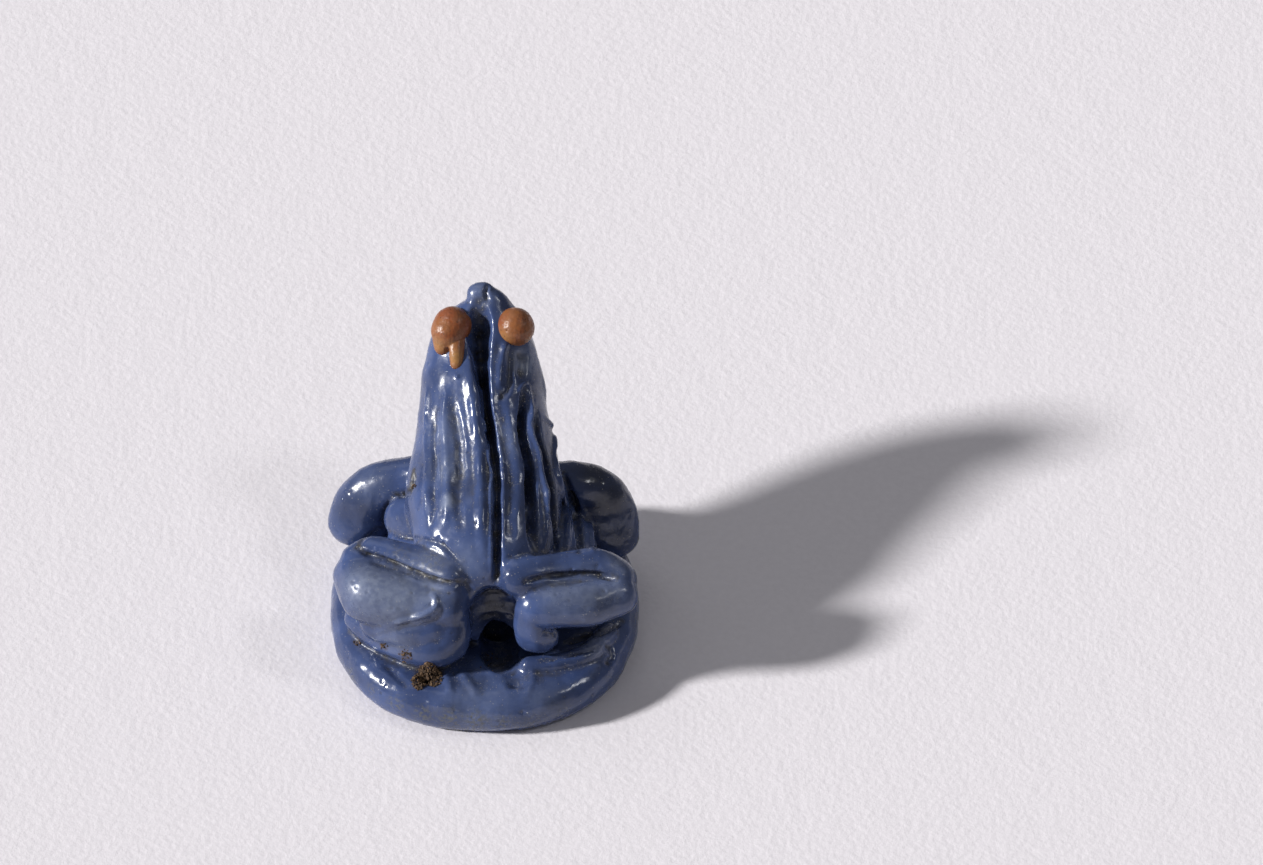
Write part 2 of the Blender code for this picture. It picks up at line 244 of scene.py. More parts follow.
class Figure:
    """Balls set close along smooth curves, which melt into one round form."""

    BALLS_PER_STEP = 9
    BALL_SEGMENTS = 24
    BALL_RINGS = 16

    def __init__(self) -> None:
        """Starts an empty figure with the pattern of its balls."""
        self.bm = bmesh.new()
        pattern = bmesh.new()
        bmesh.ops.create_uvsphere(
            pattern, u_segments=self.BALL_SEGMENTS, v_segments=self.BALL_RINGS, radius=1,
        )
        self.ball = bpy.data.meshes.new("ball")
        pattern.to_mesh(self.ball)
        pattern.free()

    def add_ball(self, centre: Vector, size: Vector) -> None:
        """Adds one ball, stretched along the axes."""
        shape = Matrix.Translation(centre) @ Matrix.Diagonal((*size, 1))
        self.ball.transform(shape)
        self.bm.from_mesh(self.ball)
        self.ball.transform(shape.inverted())

    def add_limb(self, keys: Path) -> None:
        """Adds a limb along points of x, y, z above the base's top, radius and breadth."""
        count = self.BALLS_PER_STEP * (len(keys) - 1) + 1
        for index in range(count):
            x, y, z, radius, breadth = along(keys, index / (count - 1))
            centre = Vector((x, y + FIGURE_SHIFT, z + BASE_HEIGHT))
            self.add_ball(centre, Vector((breadth * radius, radius, radius)))


class Skin:
    """The points of a mesh, which strokes move and spots paint."""

    TOUCHES_PER_STEP = 10
    FAR = 100.0
    STROKE_END = 0.15
    STROKE_TAPER = 5.0
    WAVER = 0.55
    WAVER_SIZE = 0.5
    SHALLOWEST = 0.4
    SOFT_EDGE = 1.3

    def __init__(self, item: bpy.types.Object) -> None:
        """Reads the mesh of an object."""
        self.mesh = item.data
        count = len(self.mesh.vertices)
        points = np.empty(count * 3, dtype=np.float32)
        self.mesh.vertices.foreach_get("co", points)
        self.points = points.reshape(count, 3)
        bm = bmesh.new()
        bm.from_mesh(self.mesh)
        self.tree = BVHTree.FromBMesh(bm)
        bm.free()

    def feel(self, x: float, y: float, side: Side = Side.BACK) -> tuple[Vector | None, Vector | None]:
        """Finds the skin under a pixel.

        Args:
            x: the pixel's column in the photograph, or its like on another side.
            y: the pixel's row.
            side: the side that is looked from.

        Returns:
            The point of the skin and its normal, or None twice where the line of sight misses.
        """
        toward, up = side.value
        across = (x - FOOT_PIXEL[0]) / PIXELS_PER_MM
        height = (FOOT_PIXEL[1] - y) / PIXELS_PER_MM
        aim = Vector((across, FIGURE_SHIFT, 0)) + up * height
        point, normal, _, _ = self.tree.ray_cast(aim + toward * self.FAR, -toward)
        return point, normal

    def trace(self, stroke: Stroke) -> tuple[np.ndarray, np.ndarray, np.ndarray]:
        """Lays a stroke on the skin.

        Args:
            stroke: the stroke.

        Returns:
            Its points on the skin, the skin's normals there, and its half-widths in millimetres.
        """
        steps = self.TOUCHES_PER_STEP * (len(stroke.path) - 1)
        points, normals, widths = [], [], []
        for index in range(steps + 1):
            x, y, half_width = along(stroke.path, index / steps)
            point, normal = self.feel(x, y, stroke.side)
            if point is not None:
                points.append(point)
                normals.append(normal)
                widths.append(half_width / PIXELS_PER_MM)
        return np.array(points), np.array(normals), np.array(widths)

    def near(self, path: np.ndarray, reach: float) -> tuple[np.ndarray, np.ndarray, np.ndarray]:
        """Finds the skin's points near a path.

        Args:
            path: the path's points.
            reach: how far to look.

        Returns:
            The numbers of the skin's points, their distances, and the path's nearest point to each.
        """
        low = path.min(axis=0) - reach
        high = path.max(axis=0) + reach
        chosen = np.flatnonzero(np.all((self.points > low) & (self.points < high), axis=1))
        distance = np.full(len(chosen), np.inf)
        which = np.zeros(len(chosen), dtype=int)
        picked = self.points[chosen]
        for index, spot in enumerate(path):
            away = np.linalg.norm(picked - spot, axis=1)
            closer = away < distance
            distance[closer] = away[closer]
            which[closer] = index
        return chosen, distance, which

    def carve(self, strokes: tuple[Stroke, ...]) -> None:
        """Moves the skin for each stroke, all felt for on the skin as it was before."""
        moved = self.points.astype(float)
        for stroke in strokes:
            path, normals, widths = self.trace(stroke)
            if not len(path):
                continue
            chosen, distance, which = self.near(path, widths.max())
            fall = np.clip(1 - (distance / widths[which]) ** 2, 0, None) ** stroke.bite.value
            from_end = np.minimum(which, len(path) - 1 - which) / len(path)
            taper = np.minimum(1, self.STROKE_TAPER * from_end + self.STROKE_END)
            waver = np.array([
                1 + self.WAVER * noise.noise(Vector(spot) / self.WAVER_SIZE) for spot in path
            ])
            moved[chosen] -= normals[which] * (fall * taper * waver[which] * stroke.depth)[:, None]
        self.points = moved.astype(np.float32)
        self.store()

    def roughen(self, size: float, height: float, offset: float) -> None:
        """Gives the skin a low hand-made unevenness.

        Args:
            size: the width of one swelling.
            height: how far it rises.
            offset: shifts the pattern, so that two passes differ.
        """
        normals = self.normals()
        shift = Vector((offset, -offset, offset))
        values = np.array([noise.noise(Vector(point) / size + shift) for point in self.points])
        self.points = (self.points + normals * (values * height)[:, None]).astype(np.float32)
        self.store()

    def dent(self, count: int, radius: tuple[float, float], depth: float, seed: int) -> None:
        """Sinks small pits at random places, as burst bubbles and chips leave them.

        Args:
            count: how many pits.
            radius: the smallest and the largest radius, in millimetres.
            depth: the depth of the deepest pit.
            seed: starts the row of random numbers.
        """
        rng = random.Random(seed)
        normals = self.normals()
        moved = self.points.astype(float)
        for _ in range(count):
            index = rng.randrange(len(self.points))
            reach = rng.uniform(*radius)
            away = np.linalg.norm(self.points - self.points[index], axis=1)
            chosen = np.flatnonzero(away < reach)
            fall = (1 - (away[chosen] / reach) ** 2) ** Bite.ROUND.value
            share = rng.uniform(self.SHALLOWEST, 1.0)
            moved[chosen] -= normals[index] * (fall * depth * share)[:, None]
        self.points = moved.astype(np.float32)
        self.store()

    def normals(self) -> np.ndarray:
        """Reads the skin's normals, one to a point."""
        values = np.empty(len(self.mesh.vertices) * 3, dtype=np.float32)
        self.mesh.vertices.foreach_get("normal", values)
        return values.reshape(-1, 3)

    def store(self) -> None:
        """Writes the points back to the mesh."""
        self.mesh.vertices.foreach_set("co", self.points.ravel())
        self.mesh.update()

    def hollows(self, rounds: int, full: float) -> np.ndarray:
        """Measures how deep each point lies below its smoothed neighbourhood.

        Args:
            rounds: how many times the neighbourhood is spread.
            full: the depth in millimetres that counts as 1.

        Returns:
            One number to a point, from 0 on open skin to 1 in a hollow.
        """
        edges = np.empty(len(self.mesh.edges) * 2, dtype=np.int32)
        self.mesh.edges.foreach_get("vertices", edges)
        first, second = edges[::2], edges[1::2]
        count = len(self.points)
        shared = np.bincount(first, minlength=count) + np.bincount(second, minlength=count)
        smooth = self.points.astype(float)
        for _ in range(rounds):
            total = np.stack([
                np.bincount(first, smooth[second, axis], count)
                + np.bincount(second, smooth[first, axis], count)
                for axis in range(3)
            ], axis=1)
            smooth = total / shared[:, None]
        below = np.einsum("ij,ij->i", smooth - self.points, self.normals())
        return np.clip(below / full, 0, 1)

    def spread(self, spots: tuple[Spot, ...]) -> np.ndarray:
        """Paints soft round patches, one number to a point."""
        painted = np.zeros(len(self.points))
        for spot in spots:
            centre, _ = self.feel(spot.x, spot.y)
            if centre is None:
                continue
            distance = np.linalg.norm(self.points - np.array(centre), axis=1)
            away = distance * PIXELS_PER_MM / spot.radius
            painted = np.maximum(painted, spot.amount * np.clip(self.SOFT_EDGE - away, 0, 1))
        return painted

    def line(self, strokes: tuple[Stroke, ...], spill: float) -> np.ndarray:
        """Paints the strokes' own soil, spilling a little over their sides."""
        painted = np.zeros(len(self.points))
        for stroke in strokes:
            if not stroke.soil:
                continue
            path, _, widths = self.trace(stroke)
            chosen, distance, which = self.near(path, widths.max() * spill)
            share = np.clip(1 - distance / (widths[which] * spill), 0, 1) * stroke.soil
            painted[chosen] = np.maximum(painted[chosen], share)
        return painted

    def attribute(self, name: str, values: np.ndarray) -> None:
        """Keeps one number to a point on the mesh, for the materials."""
        layer = self.mesh.attributes.new(name, "FLOAT", "POINT")
        layer.data.foreach_set("value", values.astype(np.float32))


class Nodes:
    """A small helper that lays out the nodes of a material or a node group."""

    # the colour sockets of a mix node, by their numbers
    MIX_SHARE = 0
    MIX_COLOURS = (6, 7)
    MIX_RESULT = 2

    def __init__(self, tree: bpy.types.NodeTree) -> None:
        """Keeps the tree that the nodes go into."""
        self.tree = tree

    def add(self, kind: str, **settings: object) -> bpy.types.Node:
        """Adds a node of a kind and sets its own properties."""
        node = self.tree.nodes.new(kind)
        for name, value in settings.items():
            setattr(node, name, value)
        return node

    def link(self, source: bpy.types.NodeSocket, target: bpy.types.NodeSocket) -> None:
        """Links two sockets."""
        self.tree.links.new(source, target)

    def attribute(self, name: str) -> bpy.types.NodeSocket:
        """Reads a number that the mesh keeps for each of its points."""
        return self.add("ShaderNodeAttribute", attribute_name=name).outputs["Fac"]

    def math(self, operation: str, *values: object, clamp: bool = False) -> bpy.types.NodeSocket:
        """Works out one number from sockets or plain numbers."""
        node = self.add("ShaderNodeMath", operation=operation, use_clamp=clamp)
        for index, value in enumerate(values):
            if isinstance(value, bpy.types.NodeSocket):
                self.link(value, node.inputs[index])
            else:
                node.inputs[index].default_value = value
        return node.outputs[0]

    def mix(self, share: bpy.types.NodeSocket, first: object, second: object) -> bpy.types.NodeSocket:
        """Mixes two colours, each a socket or plain numbers, by a share."""
        node = self.add("ShaderNodeMix", data_type="RGBA")
        self.link(share, node.inputs[self.MIX_SHARE])
        for index, value in zip(self.MIX_COLOURS, (first, second)):
            if isinstance(value, bpy.types.NodeSocket):
                self.link(value, node.inputs[index])
            else:
                node.inputs[index].default_value = (*value, 1)
        return node.outputs[self.MIX_RESULT]

    def veil(
        self, mask: bpy.types.NodeSocket, fine: bpy.types.NodeSocket, patches: tuple[float, float],
    ) -> bpy.types.NodeSocket:
        """Breaks a mask up with a fine mottle, by the mottle's gain and floor."""
        return self.math("MULTIPLY", mask, self.math("MULTIPLY_ADD", fine, *patches), clamp=True)

    def group(self, tree: bpy.types.NodeTree, **values: float) -> bpy.types.NodeSocket:
        """Places a node group with values for its inputs and gives its output."""
        node = self.add("ShaderNodeGroup", node_tree=tree)
        for name, value in values.items():
            node.inputs[name.replace("_", " ").capitalize()].default_value = value
        return node.outputs[0]


def new_group(
    name: str, inputs: dict[str, float],
) -> tuple[Nodes, bpy.types.NodeOutputs, bpy.types.NodeSocket]:
    """Starts a node group that gives one mask.

    Args:
        name: its name.
        inputs: its inputs with their default values.

    Returns:
        Its node helper, its inputs, and the socket that takes the mask.
    """
    tree = bpy.data.node_groups.new(name, "ShaderNodeTree")
    for label, value in inputs.items():
        socket = tree.interface.new_socket(label, in_out="INPUT", socket_type="NodeSocketFloat")
        socket.default_value = value
    tree.interface.new_socket("Mask", in_out="OUTPUT", socket_type="NodeSocketFloat")
    nodes = Nodes(tree)
    given = nodes.add("NodeGroupInput").outputs
    return nodes, given, nodes.add("NodeGroupOutput").inputs["Mask"]


def lay_texture(nodes: Nodes, kind: str, size: bpy.types.NodeSocket) -> bpy.types.Node:
    """Lays a texture over the object, with the size of its cells in metres."""
    node = nodes.add(kind)
    nodes.link(nodes.add("ShaderNodeTexCoord").outputs["Object"], node.inputs["Vector"])
    nodes.link(nodes.math("DIVIDE", 1.0, size), node.inputs["Scale"])
    return node


def make_mottle() -> bpy.types.NodeTree:
    """Builds the group for cloudy patches: noise of a size, with its lows and highs cut off."""
    nodes, given, mask = new_group("mottle", {"Size": 0.001, "Detail": 3.0, "Low": 0.4, "High": 0.6})
    cloud = lay_texture(nodes, "ShaderNodeTexNoise", given["Size"])
    nodes.link(given["Detail"], cloud.inputs["Detail"])
    stretch = nodes.add("ShaderNodeMapRange", clamp=True)
    nodes.link(cloud.outputs["Fac"], stretch.inputs["Value"])
    nodes.link(given["Low"], stretch.inputs["From Min"])
    nodes.link(given["High"], stretch.inputs["From Max"])
    nodes.link(stretch.outputs["Result"], mask)
    return nodes.tree


def make_grains() -> bpy.types.NodeTree:
    """Builds the group for loose grains: small round dots, some of the cells empty."""
    nodes, given, mask = new_group("grains", {"Size": 0.0001, "Radius": 0.3, "Share": 0.3})
    cells = lay_texture(nodes, "ShaderNodeTexVoronoi", given["Size"])
    dot = nodes.math("LESS_THAN", cells.outputs["Distance"], given["Radius"])
    kept = nodes.add("ShaderNodeSeparateColor")
    nodes.link(cells.outputs["Color"], kept.inputs["Color"])
    filled = nodes.math("LESS_THAN", kept.outputs["Red"], given["Share"])
    nodes.link(nodes.math("MULTIPLY", dot, filled), mask)
    return nodes.tree


MOTTLE = make_mottle()
GRAINS = make_grains()


def new_material(name: str) -> tuple[bpy.types.Material, Nodes, bpy.types.Node]:
    """Starts a material.

    Args:
        name: its name.

    Returns:
        The material, its node helper and its Principled shader.
    """
    material = bpy.data.materials.new(name)
    material.use_nodes = True
    return material, Nodes(material.node_tree), material.node_tree.nodes["Principled BSDF"]


def bump(nodes: Nodes, shader: bpy.types.Node, height: bpy.types.NodeSocket, distance: float) -> None:
    """Leads a height, in units of a distance in metres, into a shader's normal."""
    node = nodes.add("ShaderNodeBump")
    node.inputs["Strength"].default_value = 1.0
    node.inputs["Distance"].default_value = distance
    nodes.link(height, node.inputs["Height"])
    nodes.link(node.outputs["Normal"], shader.inputs["Normal"])


@dataclass(frozen=True)
class BlueGlass:
    """Opaque dark blue glass: glossy where clean, hazy in patches (most of all on the left shin), dirty in
    its hollows, with painted reflection greying the right cheek and the right shin, painted shade on the
    right arm and the rump, and pale specks of dust and grit that also stand in as painted glints.
    """

    deep: Colour = (0.029, 0.046, 0.116)
    light: Colour = (0.046, 0.074, 0.184)
    # the haze colour, also painted reflection on the right cheek and the right shin
    haze_and_reflection: Colour = (0.185, 0.217, 0.305)
    crust: Colour = (0.100, 0.096, 0.072)
    soil: Colour = (0.030, 0.028, 0.026)
    earth: Colour = (0.060, 0.036, 0.020)
    # pale specks: dust and grit, which also stand in as painted glints
    dust_and_glint: Colour = (0.42, 0.40, 0.38)
    # the colour of painted shade and of the darker patches
    painted_shade_and_dark_patches: Colour = (0.014, 0.018, 0.036)
    ior: float = 1.52
    # the fine mottle's gain and floor in each veil
    haze_and_reflection_patches: tuple[float, float] = (0.35, 0.65)
    soil_patches: tuple[float, float] = (0.6, 0.55)
    earth_patches: tuple[float, float] = (0.6, 0.6)
    # grains lie where there is soil, and a few on open skin too
    stray_grains: float = 0.03
    # how pale the grit specks are, which stand in as painted glints over all the skin
    grit_and_glint_paleness: float = 0.26
    # the roughness of clean glass, and what each veil adds to it
    gloss: float = 0.20
    haze_and_reflection_rough: float = 0.22
    soil_rough: float = 0.30
    earth_rough: float = 0.5
    crust_rough: float = 0.25
    # the relief in metres, and the shares that the mottle and the grit take in it
    relief: float = 0.00002
    soil_relief: float = 0.5
    clean_relief: float = 0.08
    grit_relief: float = 0.22

    def build(self) -> bpy.types.Material:
        """Builds the material."""
        material, nodes, shader = new_material("blue_glass")
        soil = nodes.attribute(SOIL)
        cloud = nodes.group(MOTTLE, size=0.0016, detail=4.0, low=0.38, high=0.64)
        fine = nodes.group(MOTTLE, size=0.00022, detail=3.0, low=0.40, high=0.62)
        flaky = nodes.group(MOTTLE, size=0.00013, detail=5.0, low=0.42, high=0.62)
        tone = nodes.mix(cloud, self.deep, self.light)
        # haze, and painted reflection greying the right cheek and the right shin
        veil = nodes.veil(nodes.attribute(HAZE_AND_REFLECTION), fine, self.haze_and_reflection_patches)
        tone = nodes.mix(veil, tone, self.haze_and_reflection)
        # painted shade on the right arm and the rump between the heels, and darker patches elsewhere
        tone = nodes.mix(nodes.attribute(PAINTED_SHADE_AND_DARK_PATCHES), tone, self.painted_shade_and_dark_patches)
        band = nodes.math("MULTIPLY", nodes.attribute(CRUST), flaky)
        tone = nodes.mix(band, tone, self.crust)
        dirt = nodes.veil(soil, fine, self.soil_patches)
        tone = nodes.mix(dirt, tone, self.soil)
        brown = nodes.veil(nodes.attribute(EARTH), fine, self.earth_patches)
        tone = nodes.mix(brown, tone, self.earth)
        grains = nodes.group(GRAINS, size=0.000075, radius=0.31, share=0.34)
        grit_and_glint = nodes.group(GRAINS, size=0.00011, radius=0.21, share=0.17)
        gaps = nodes.group(MOTTLE, size=0.0005, detail=2.0, low=0.40, high=0.55)
        dusty = nodes.math("ADD", nodes.math("MULTIPLY", soil, gaps), self.stray_grains, clamp=True)
        dust = nodes.math("MULTIPLY", grains, dusty)
        # pale specks: dust where there is soil, and grit everywhere that also serves as painted glints
        pale = nodes.math("MULTIPLY_ADD", grit_and_glint, self.grit_and_glint_paleness, dust, clamp=True)
        nodes.link(nodes.mix(pale, tone, self.dust_and_glint), shader.inputs["Base Color"])
        rough = nodes.math("MULTIPLY_ADD", veil, self.haze_and_reflection_rough, self.gloss)
        rough = nodes.math("MULTIPLY_ADD", dirt, self.soil_rough, rough)
        rough = nodes.math("MULTIPLY_ADD", brown, self.earth_rough, rough)
        rough = nodes.math("MULTIPLY_ADD", band, self.crust_rough, rough, clamp=True)
        nodes.link(rough, shader.inputs["Roughness"])
        shader.inputs["IOR"].default_value = self.ior
        share = nodes.math("MULTIPLY_ADD", soil, self.soil_relief, self.clean_relief)
        height = nodes.math("MULTIPLY", fine, share)
        height = nodes.math("MULTIPLY_ADD", grains, dusty, height)
        height = nodes.math("MULTIPLY_ADD", grit_and_glint, self.grit_relief, height)
        bump(nodes, shader, height, self.relief)
        return material


@dataclass(frozen=True)
class OrangeGlass:
    """Opaque orange-brown glass, redder where it is thick, with dirt at its edges."""

    red: Colour = (0.205, 0.056, 0.018)
    tan: Colour = (0.320, 0.160, 0.055)
    dark: Colour = (0.050, 0.024, 0.014)
    ior: float = 1.5
    # how much of the clouds turn tan, and of the mottle and the grains dark
    tan_clouds: float = 0.3
    dark_mottle: float = 0.18
    dark_grains: float = 0.7
    # the mottle's gain in the roughness, and the roughness of clean glass
    rough: tuple[float, float] = (0.18, 0.30)
    relief: float = 0.000006

    def build(self) -> bpy.types.Material:
        """Builds the material."""
        material, nodes, shader = new_material("orange_glass")
        cloud = nodes.group(MOTTLE, size=0.0007, detail=3.0, low=0.40, high=0.60)
        fine = nodes.group(MOTTLE, size=0.00014, detail=3.0, low=0.40, high=0.62)
        grains = nodes.group(GRAINS, size=0.00012, radius=0.22, share=0.12)
        clouds = nodes.math("MULTIPLY", cloud, self.tan_clouds)
        tone = nodes.mix(nodes.math("MAXIMUM", clouds, nodes.attribute(RIM)), self.red, self.tan)
        tone = nodes.mix(nodes.math("MULTIPLY", fine, self.dark_mottle), tone, self.dark)
        tone = nodes.mix(nodes.math("MULTIPLY", grains, self.dark_grains), tone, self.dark)
        nodes.link(tone, shader.inputs["Base Color"])
        nodes.link(nodes.math("MULTIPLY_ADD", fine, *self.rough), shader.inputs["Roughness"])
        shader.inputs["IOR"].default_value = self.ior
        bump(nodes, shader, nodes.math("ADD", fine, grains), self.relief)
        return material


@dataclass(frozen=True)
class Earth:
    """Dry brown soil."""

    pale: Colour = (0.120, 0.070, 0.036)
    dark: Colour = (0.022, 0.013, 0.009)
    rough: float = 0.95
    relief: float = 0.00003

    def build(self) -> bpy.types.Material:
        """Builds the material."""
        material, nodes, shader = new_material("earth")
        cloud = nodes.group(MOTTLE, size=0.00018, detail=4.0, low=0.36, high=0.62)
        nodes.link(nodes.mix(cloud, self.dark, self.pale), shader.inputs["Base Color"])
        shader.inputs["Roughness"].default_value = self.rough
        bump(nodes, shader, cloud, self.relief)
        return material


@dataclass(frozen=True)
class Paper:
    """Pale matt paper with a fine grain."""

    pale: Colour = (0.790, 0.762, 0.800)
    grey: Colour = (0.755, 0.727, 0.765)
    rough: float = 0.9
    sheen: float = 0.2
    relief: float = 0.000009
    broad_relief: float = 1.2

    def build(self) -> bpy.types.Material:
        """Builds the material."""
        material, nodes, shader = new_material("paper")
        fine = nodes.group(MOTTLE, size=0.00025, detail=5.0, low=0.30, high=0.70)
        broad = nodes.group(MOTTLE, size=0.0012, detail=3.0, low=0.25, high=0.75)
        height = nodes.math("MULTIPLY_ADD", broad, self.broad_relief, fine)
        nodes.link(nodes.mix(fine, self.grey, self.pale), shader.inputs["Base Color"])
        shader.inputs["Roughness"].default_value = self.rough
        shader.inputs["Specular IOR Level"].default_value = self.sheen
        bump(nodes, shader, height, self.relief)
        return material


@dataclass
class GlassFrog:
    """The frog and its base, one piece of glass."""

    base_width: float = 11.0
    base_length: float = 11.3
    base_edge: float = 0.7
    base_squareness: float = 0.88
    base_sides: int = 120
    base_edge_steps: int = 12
    ground_off: float = 0.08
    ground_weld: float = 1e-6
    grain: float = 0.05
    soft_rounds: int = 22
    carved_rounds: int = 4
    tunnel_rounds: int = 3
    faces: int = 190_000
    least_island: int = 1000
    # the size, height and offset of each pass of unevenness
    swellings: Path = ((1.1, 0.05, 3.0), (0.42, 0.017, 11.0), (0.16, 0.007, 17.0))
    dents: int = 420
    dent_radius: tuple[float, float] = (0.04, 0.11)
    dent_depth: float = 0.03
    dent_seed: int = 7
    # broad and fine hollows: rounds of smoothing, depth that counts as full, and share of dirt
    hollows: tuple[tuple[int, float, float], ...] = ((30, 0.10, 1.0), (8, 0.03, 0.8))
    hollow_soil: float = 0.85
    spill: float = 1.4
    tunnel_width: float = 1.6
    tunnel_height: float = 1.5
    tunnel_floor: float = 1.2
    tunnel_shift: float = 0.58
    # x and z beside the hole's middle in shares of its width, y in shares of the base's length, and
    # the share of its full width
    tunnel_way: Path = (
        (0.12, -0.36, 0.45, 0.55), (0.06, -0.335, 0.28, 0.8), (0.0, -0.29, 0.10, 0.97),
        (0.0, -0.20, 0.0, 1.0), (0.0, 0.20, 0.0, 1.0), (-0.18, 0.60, 0.0, 1.0),
    )
    limbs: tuple[Path, ...] = (
        # back, neck and head
        (
            (0.0, -2.3, 2.4, 1.15, 1.35), (0.0, -1.2, 3.05, 1.75, 1.35), (0.0, 0.65, 3.5, 2.0, 1.42),
            (0.0, 2.2, 4.25, 2.0, 1.28), (-0.08, 3.65, 5.4, 1.75, 1.28), (-0.08, 4.6, 6.3, 1.45, 1.43),
            (-0.05, 5.25, 7.2, 1.15, 1.42), (0.15, 5.65, 7.95, 0.72, 1.25), (0.2, 5.75, 8.35, 0.45, 1.25),
        ),
        # the rolled knob of the snout
        ((-0.1, 5.6, 8.1, 0.45, 1.2), (-0.12, 5.9, 8.6, 0.39, 1.35)),
        # belly and chest
        (
            (0.0, -2.2, 1.1, 1.4, 1.6), (0.25, 0.0, 1.45, 1.8, 2.1), (0.1, 1.5, 1.5, 1.6, 1.85),
            (0.0, 1.9, 2.3, 1.45, 1.6), (0.0, 2.4, 3.2, 1.45, 1.5),
        ),
        # left arm
        (
            (-1.8, 2.3, 3.0, 0.85, 1.0), (-3.2, 2.45, 2.5, 0.85, 1.1), (-3.85, 2.45, 2.1, 0.87, 1.3),
            (-4.25, 2.35, 1.4, 0.87, 1.4), (-4.45, 2.2, 0.6, 0.85, 1.35), (-4.0, 2.9, 0.3, 0.65, 1.3),
            (-3.1, 3.6, 0.2, 0.6, 1.2), (-2.1, 4.1, 0.1, 0.5, 1.5),
        ),
        # right arm
        (
            (2.2, 2.1, 2.7, 0.85, 1.0), (3.2, 2.2, 2.65, 0.85, 1.1), (3.9, 2.3, 2.2, 0.85, 1.3),
            (4.05, 2.2, 1.6, 0.87, 1.5), (4.15, 2.0, 1.1, 0.87, 1.55), (4.3, 1.8, 0.4, 0.82, 1.45),
            (4.0, 2.8, 0.2, 0.65, 1.3), (3.1, 3.6, 0.2, 0.6, 1.2), (2.1, 4.1, 0.1, 0.5, 1.5),
        ),
        # left thigh, shin and foot
        ((-1.2, -2.8, 3.0, 0.7, 1.0), (-2.6, -2.0, 3.0, 0.62, 1.0), (-3.8, -1.5, 2.9, 0.6, 1.0),
         (-4.5, -1.6, 2.6, 0.62, 1.0)),
        ((-4.5, -2.0, 2.2, 0.85, 1.0), (-4.0, -2.9, 2.25, 1.05, 1.0), (-2.8, -3.2, 2.2, 0.97, 1.0),
         (-1.9, -3.2, 2.25, 0.78, 1.0), (-1.5, -3.1, 2.3, 0.65, 1.0)),
        (
            (-1.15, -3.1, 2.65, 0.6, 1.0), (-1.25, -3.4, 1.8, 0.8, 1.0), (-1.35, -3.9, 1.0, 0.85, 1.0),
            (-2.0, -4.0, 0.75, 0.8, 1.0), (-2.9, -3.6, 0.65, 0.75, 1.0), (-3.8, -3.0, 0.5, 0.62, 1.0),
            (-4.5, -2.3, 0.4, 0.5, 1.0),
        ),
        ((-3.7, -3.2, 1.3, 0.75, 1.0), (-2.8, -3.5, 1.4, 0.92, 1.0), (-1.9, -3.6, 1.5, 0.9, 1.0),
         (-1.35, -3.5, 1.6, 0.8, 1.0), (-1.35, -3.45, 2.2, 0.78, 1.0), (-2.2, -3.4, 2.1, 0.88, 1.0)),
        # the square edges of the two heels, on both sides of the rump
        ((-0.97, -3.3, 2.6, 0.42, 1.0), (-1.0, -3.5, 2.1, 0.5, 1.0), (-1.05, -3.75, 1.5, 0.55, 1.0),
         (-1.08, -4.1, 0.9, 0.55, 1.0)),
        ((1.45, -3.75, 2.3, 0.4, 1.0), (1.45, -3.85, 1.6, 0.42, 1.0), (1.6, -3.95, 1.0, 0.42, 1.0),
         (2.1, -3.95, 0.9, 0.4, 1.0)),
        # the left flank, between thigh and arm
        ((-2.75, 1.0, 2.1, 0.82, 1.0), (-2.2, 0.6, 2.3, 0.92, 1.0)),
        # right thigh, shin, heel and toes
        ((1.2, -2.9, 3.1, 0.75, 1.0), (2.6, -2.5, 3.0, 0.68, 1.0), (4.0, -2.2, 2.9, 0.68, 1.0),
         (4.75, -2.4, 2.5, 0.72, 1.0)),
        ((4.7, -3.0, 2.3, 0.78, 1.0), (3.6, -3.5, 2.35, 0.8, 1.0), (2.5, -3.6, 2.35, 0.8, 1.0),
         (1.9, -3.6, 2.3, 0.77, 1.0)),
        ((1.75, -3.6, 2.2, 0.66, 1.0), (1.8, -3.75, 1.4, 0.66, 1.0), (2.05, -3.8, 0.95, 0.55, 1.0),
         (2.25, -3.75, 0.95, 0.45, 1.0)),
        ((1.6, -4.3, 0.05, 0.34, 1.0), (2.6, -4.2, 0.1, 0.34, 1.0), (3.7, -3.7, 0.1, 0.36, 1.0),
         (4.35, -2.7, 0.1, 0.4, 1.0)),
        # the flap of glass beside the right eye
        ((1.75, 4.3, 6.1, 0.3, 1.0), (1.98, 3.85, 5.6, 0.24, 1.0), (2.02, 3.6, 5.3, 0.18, 1.0)),
    )
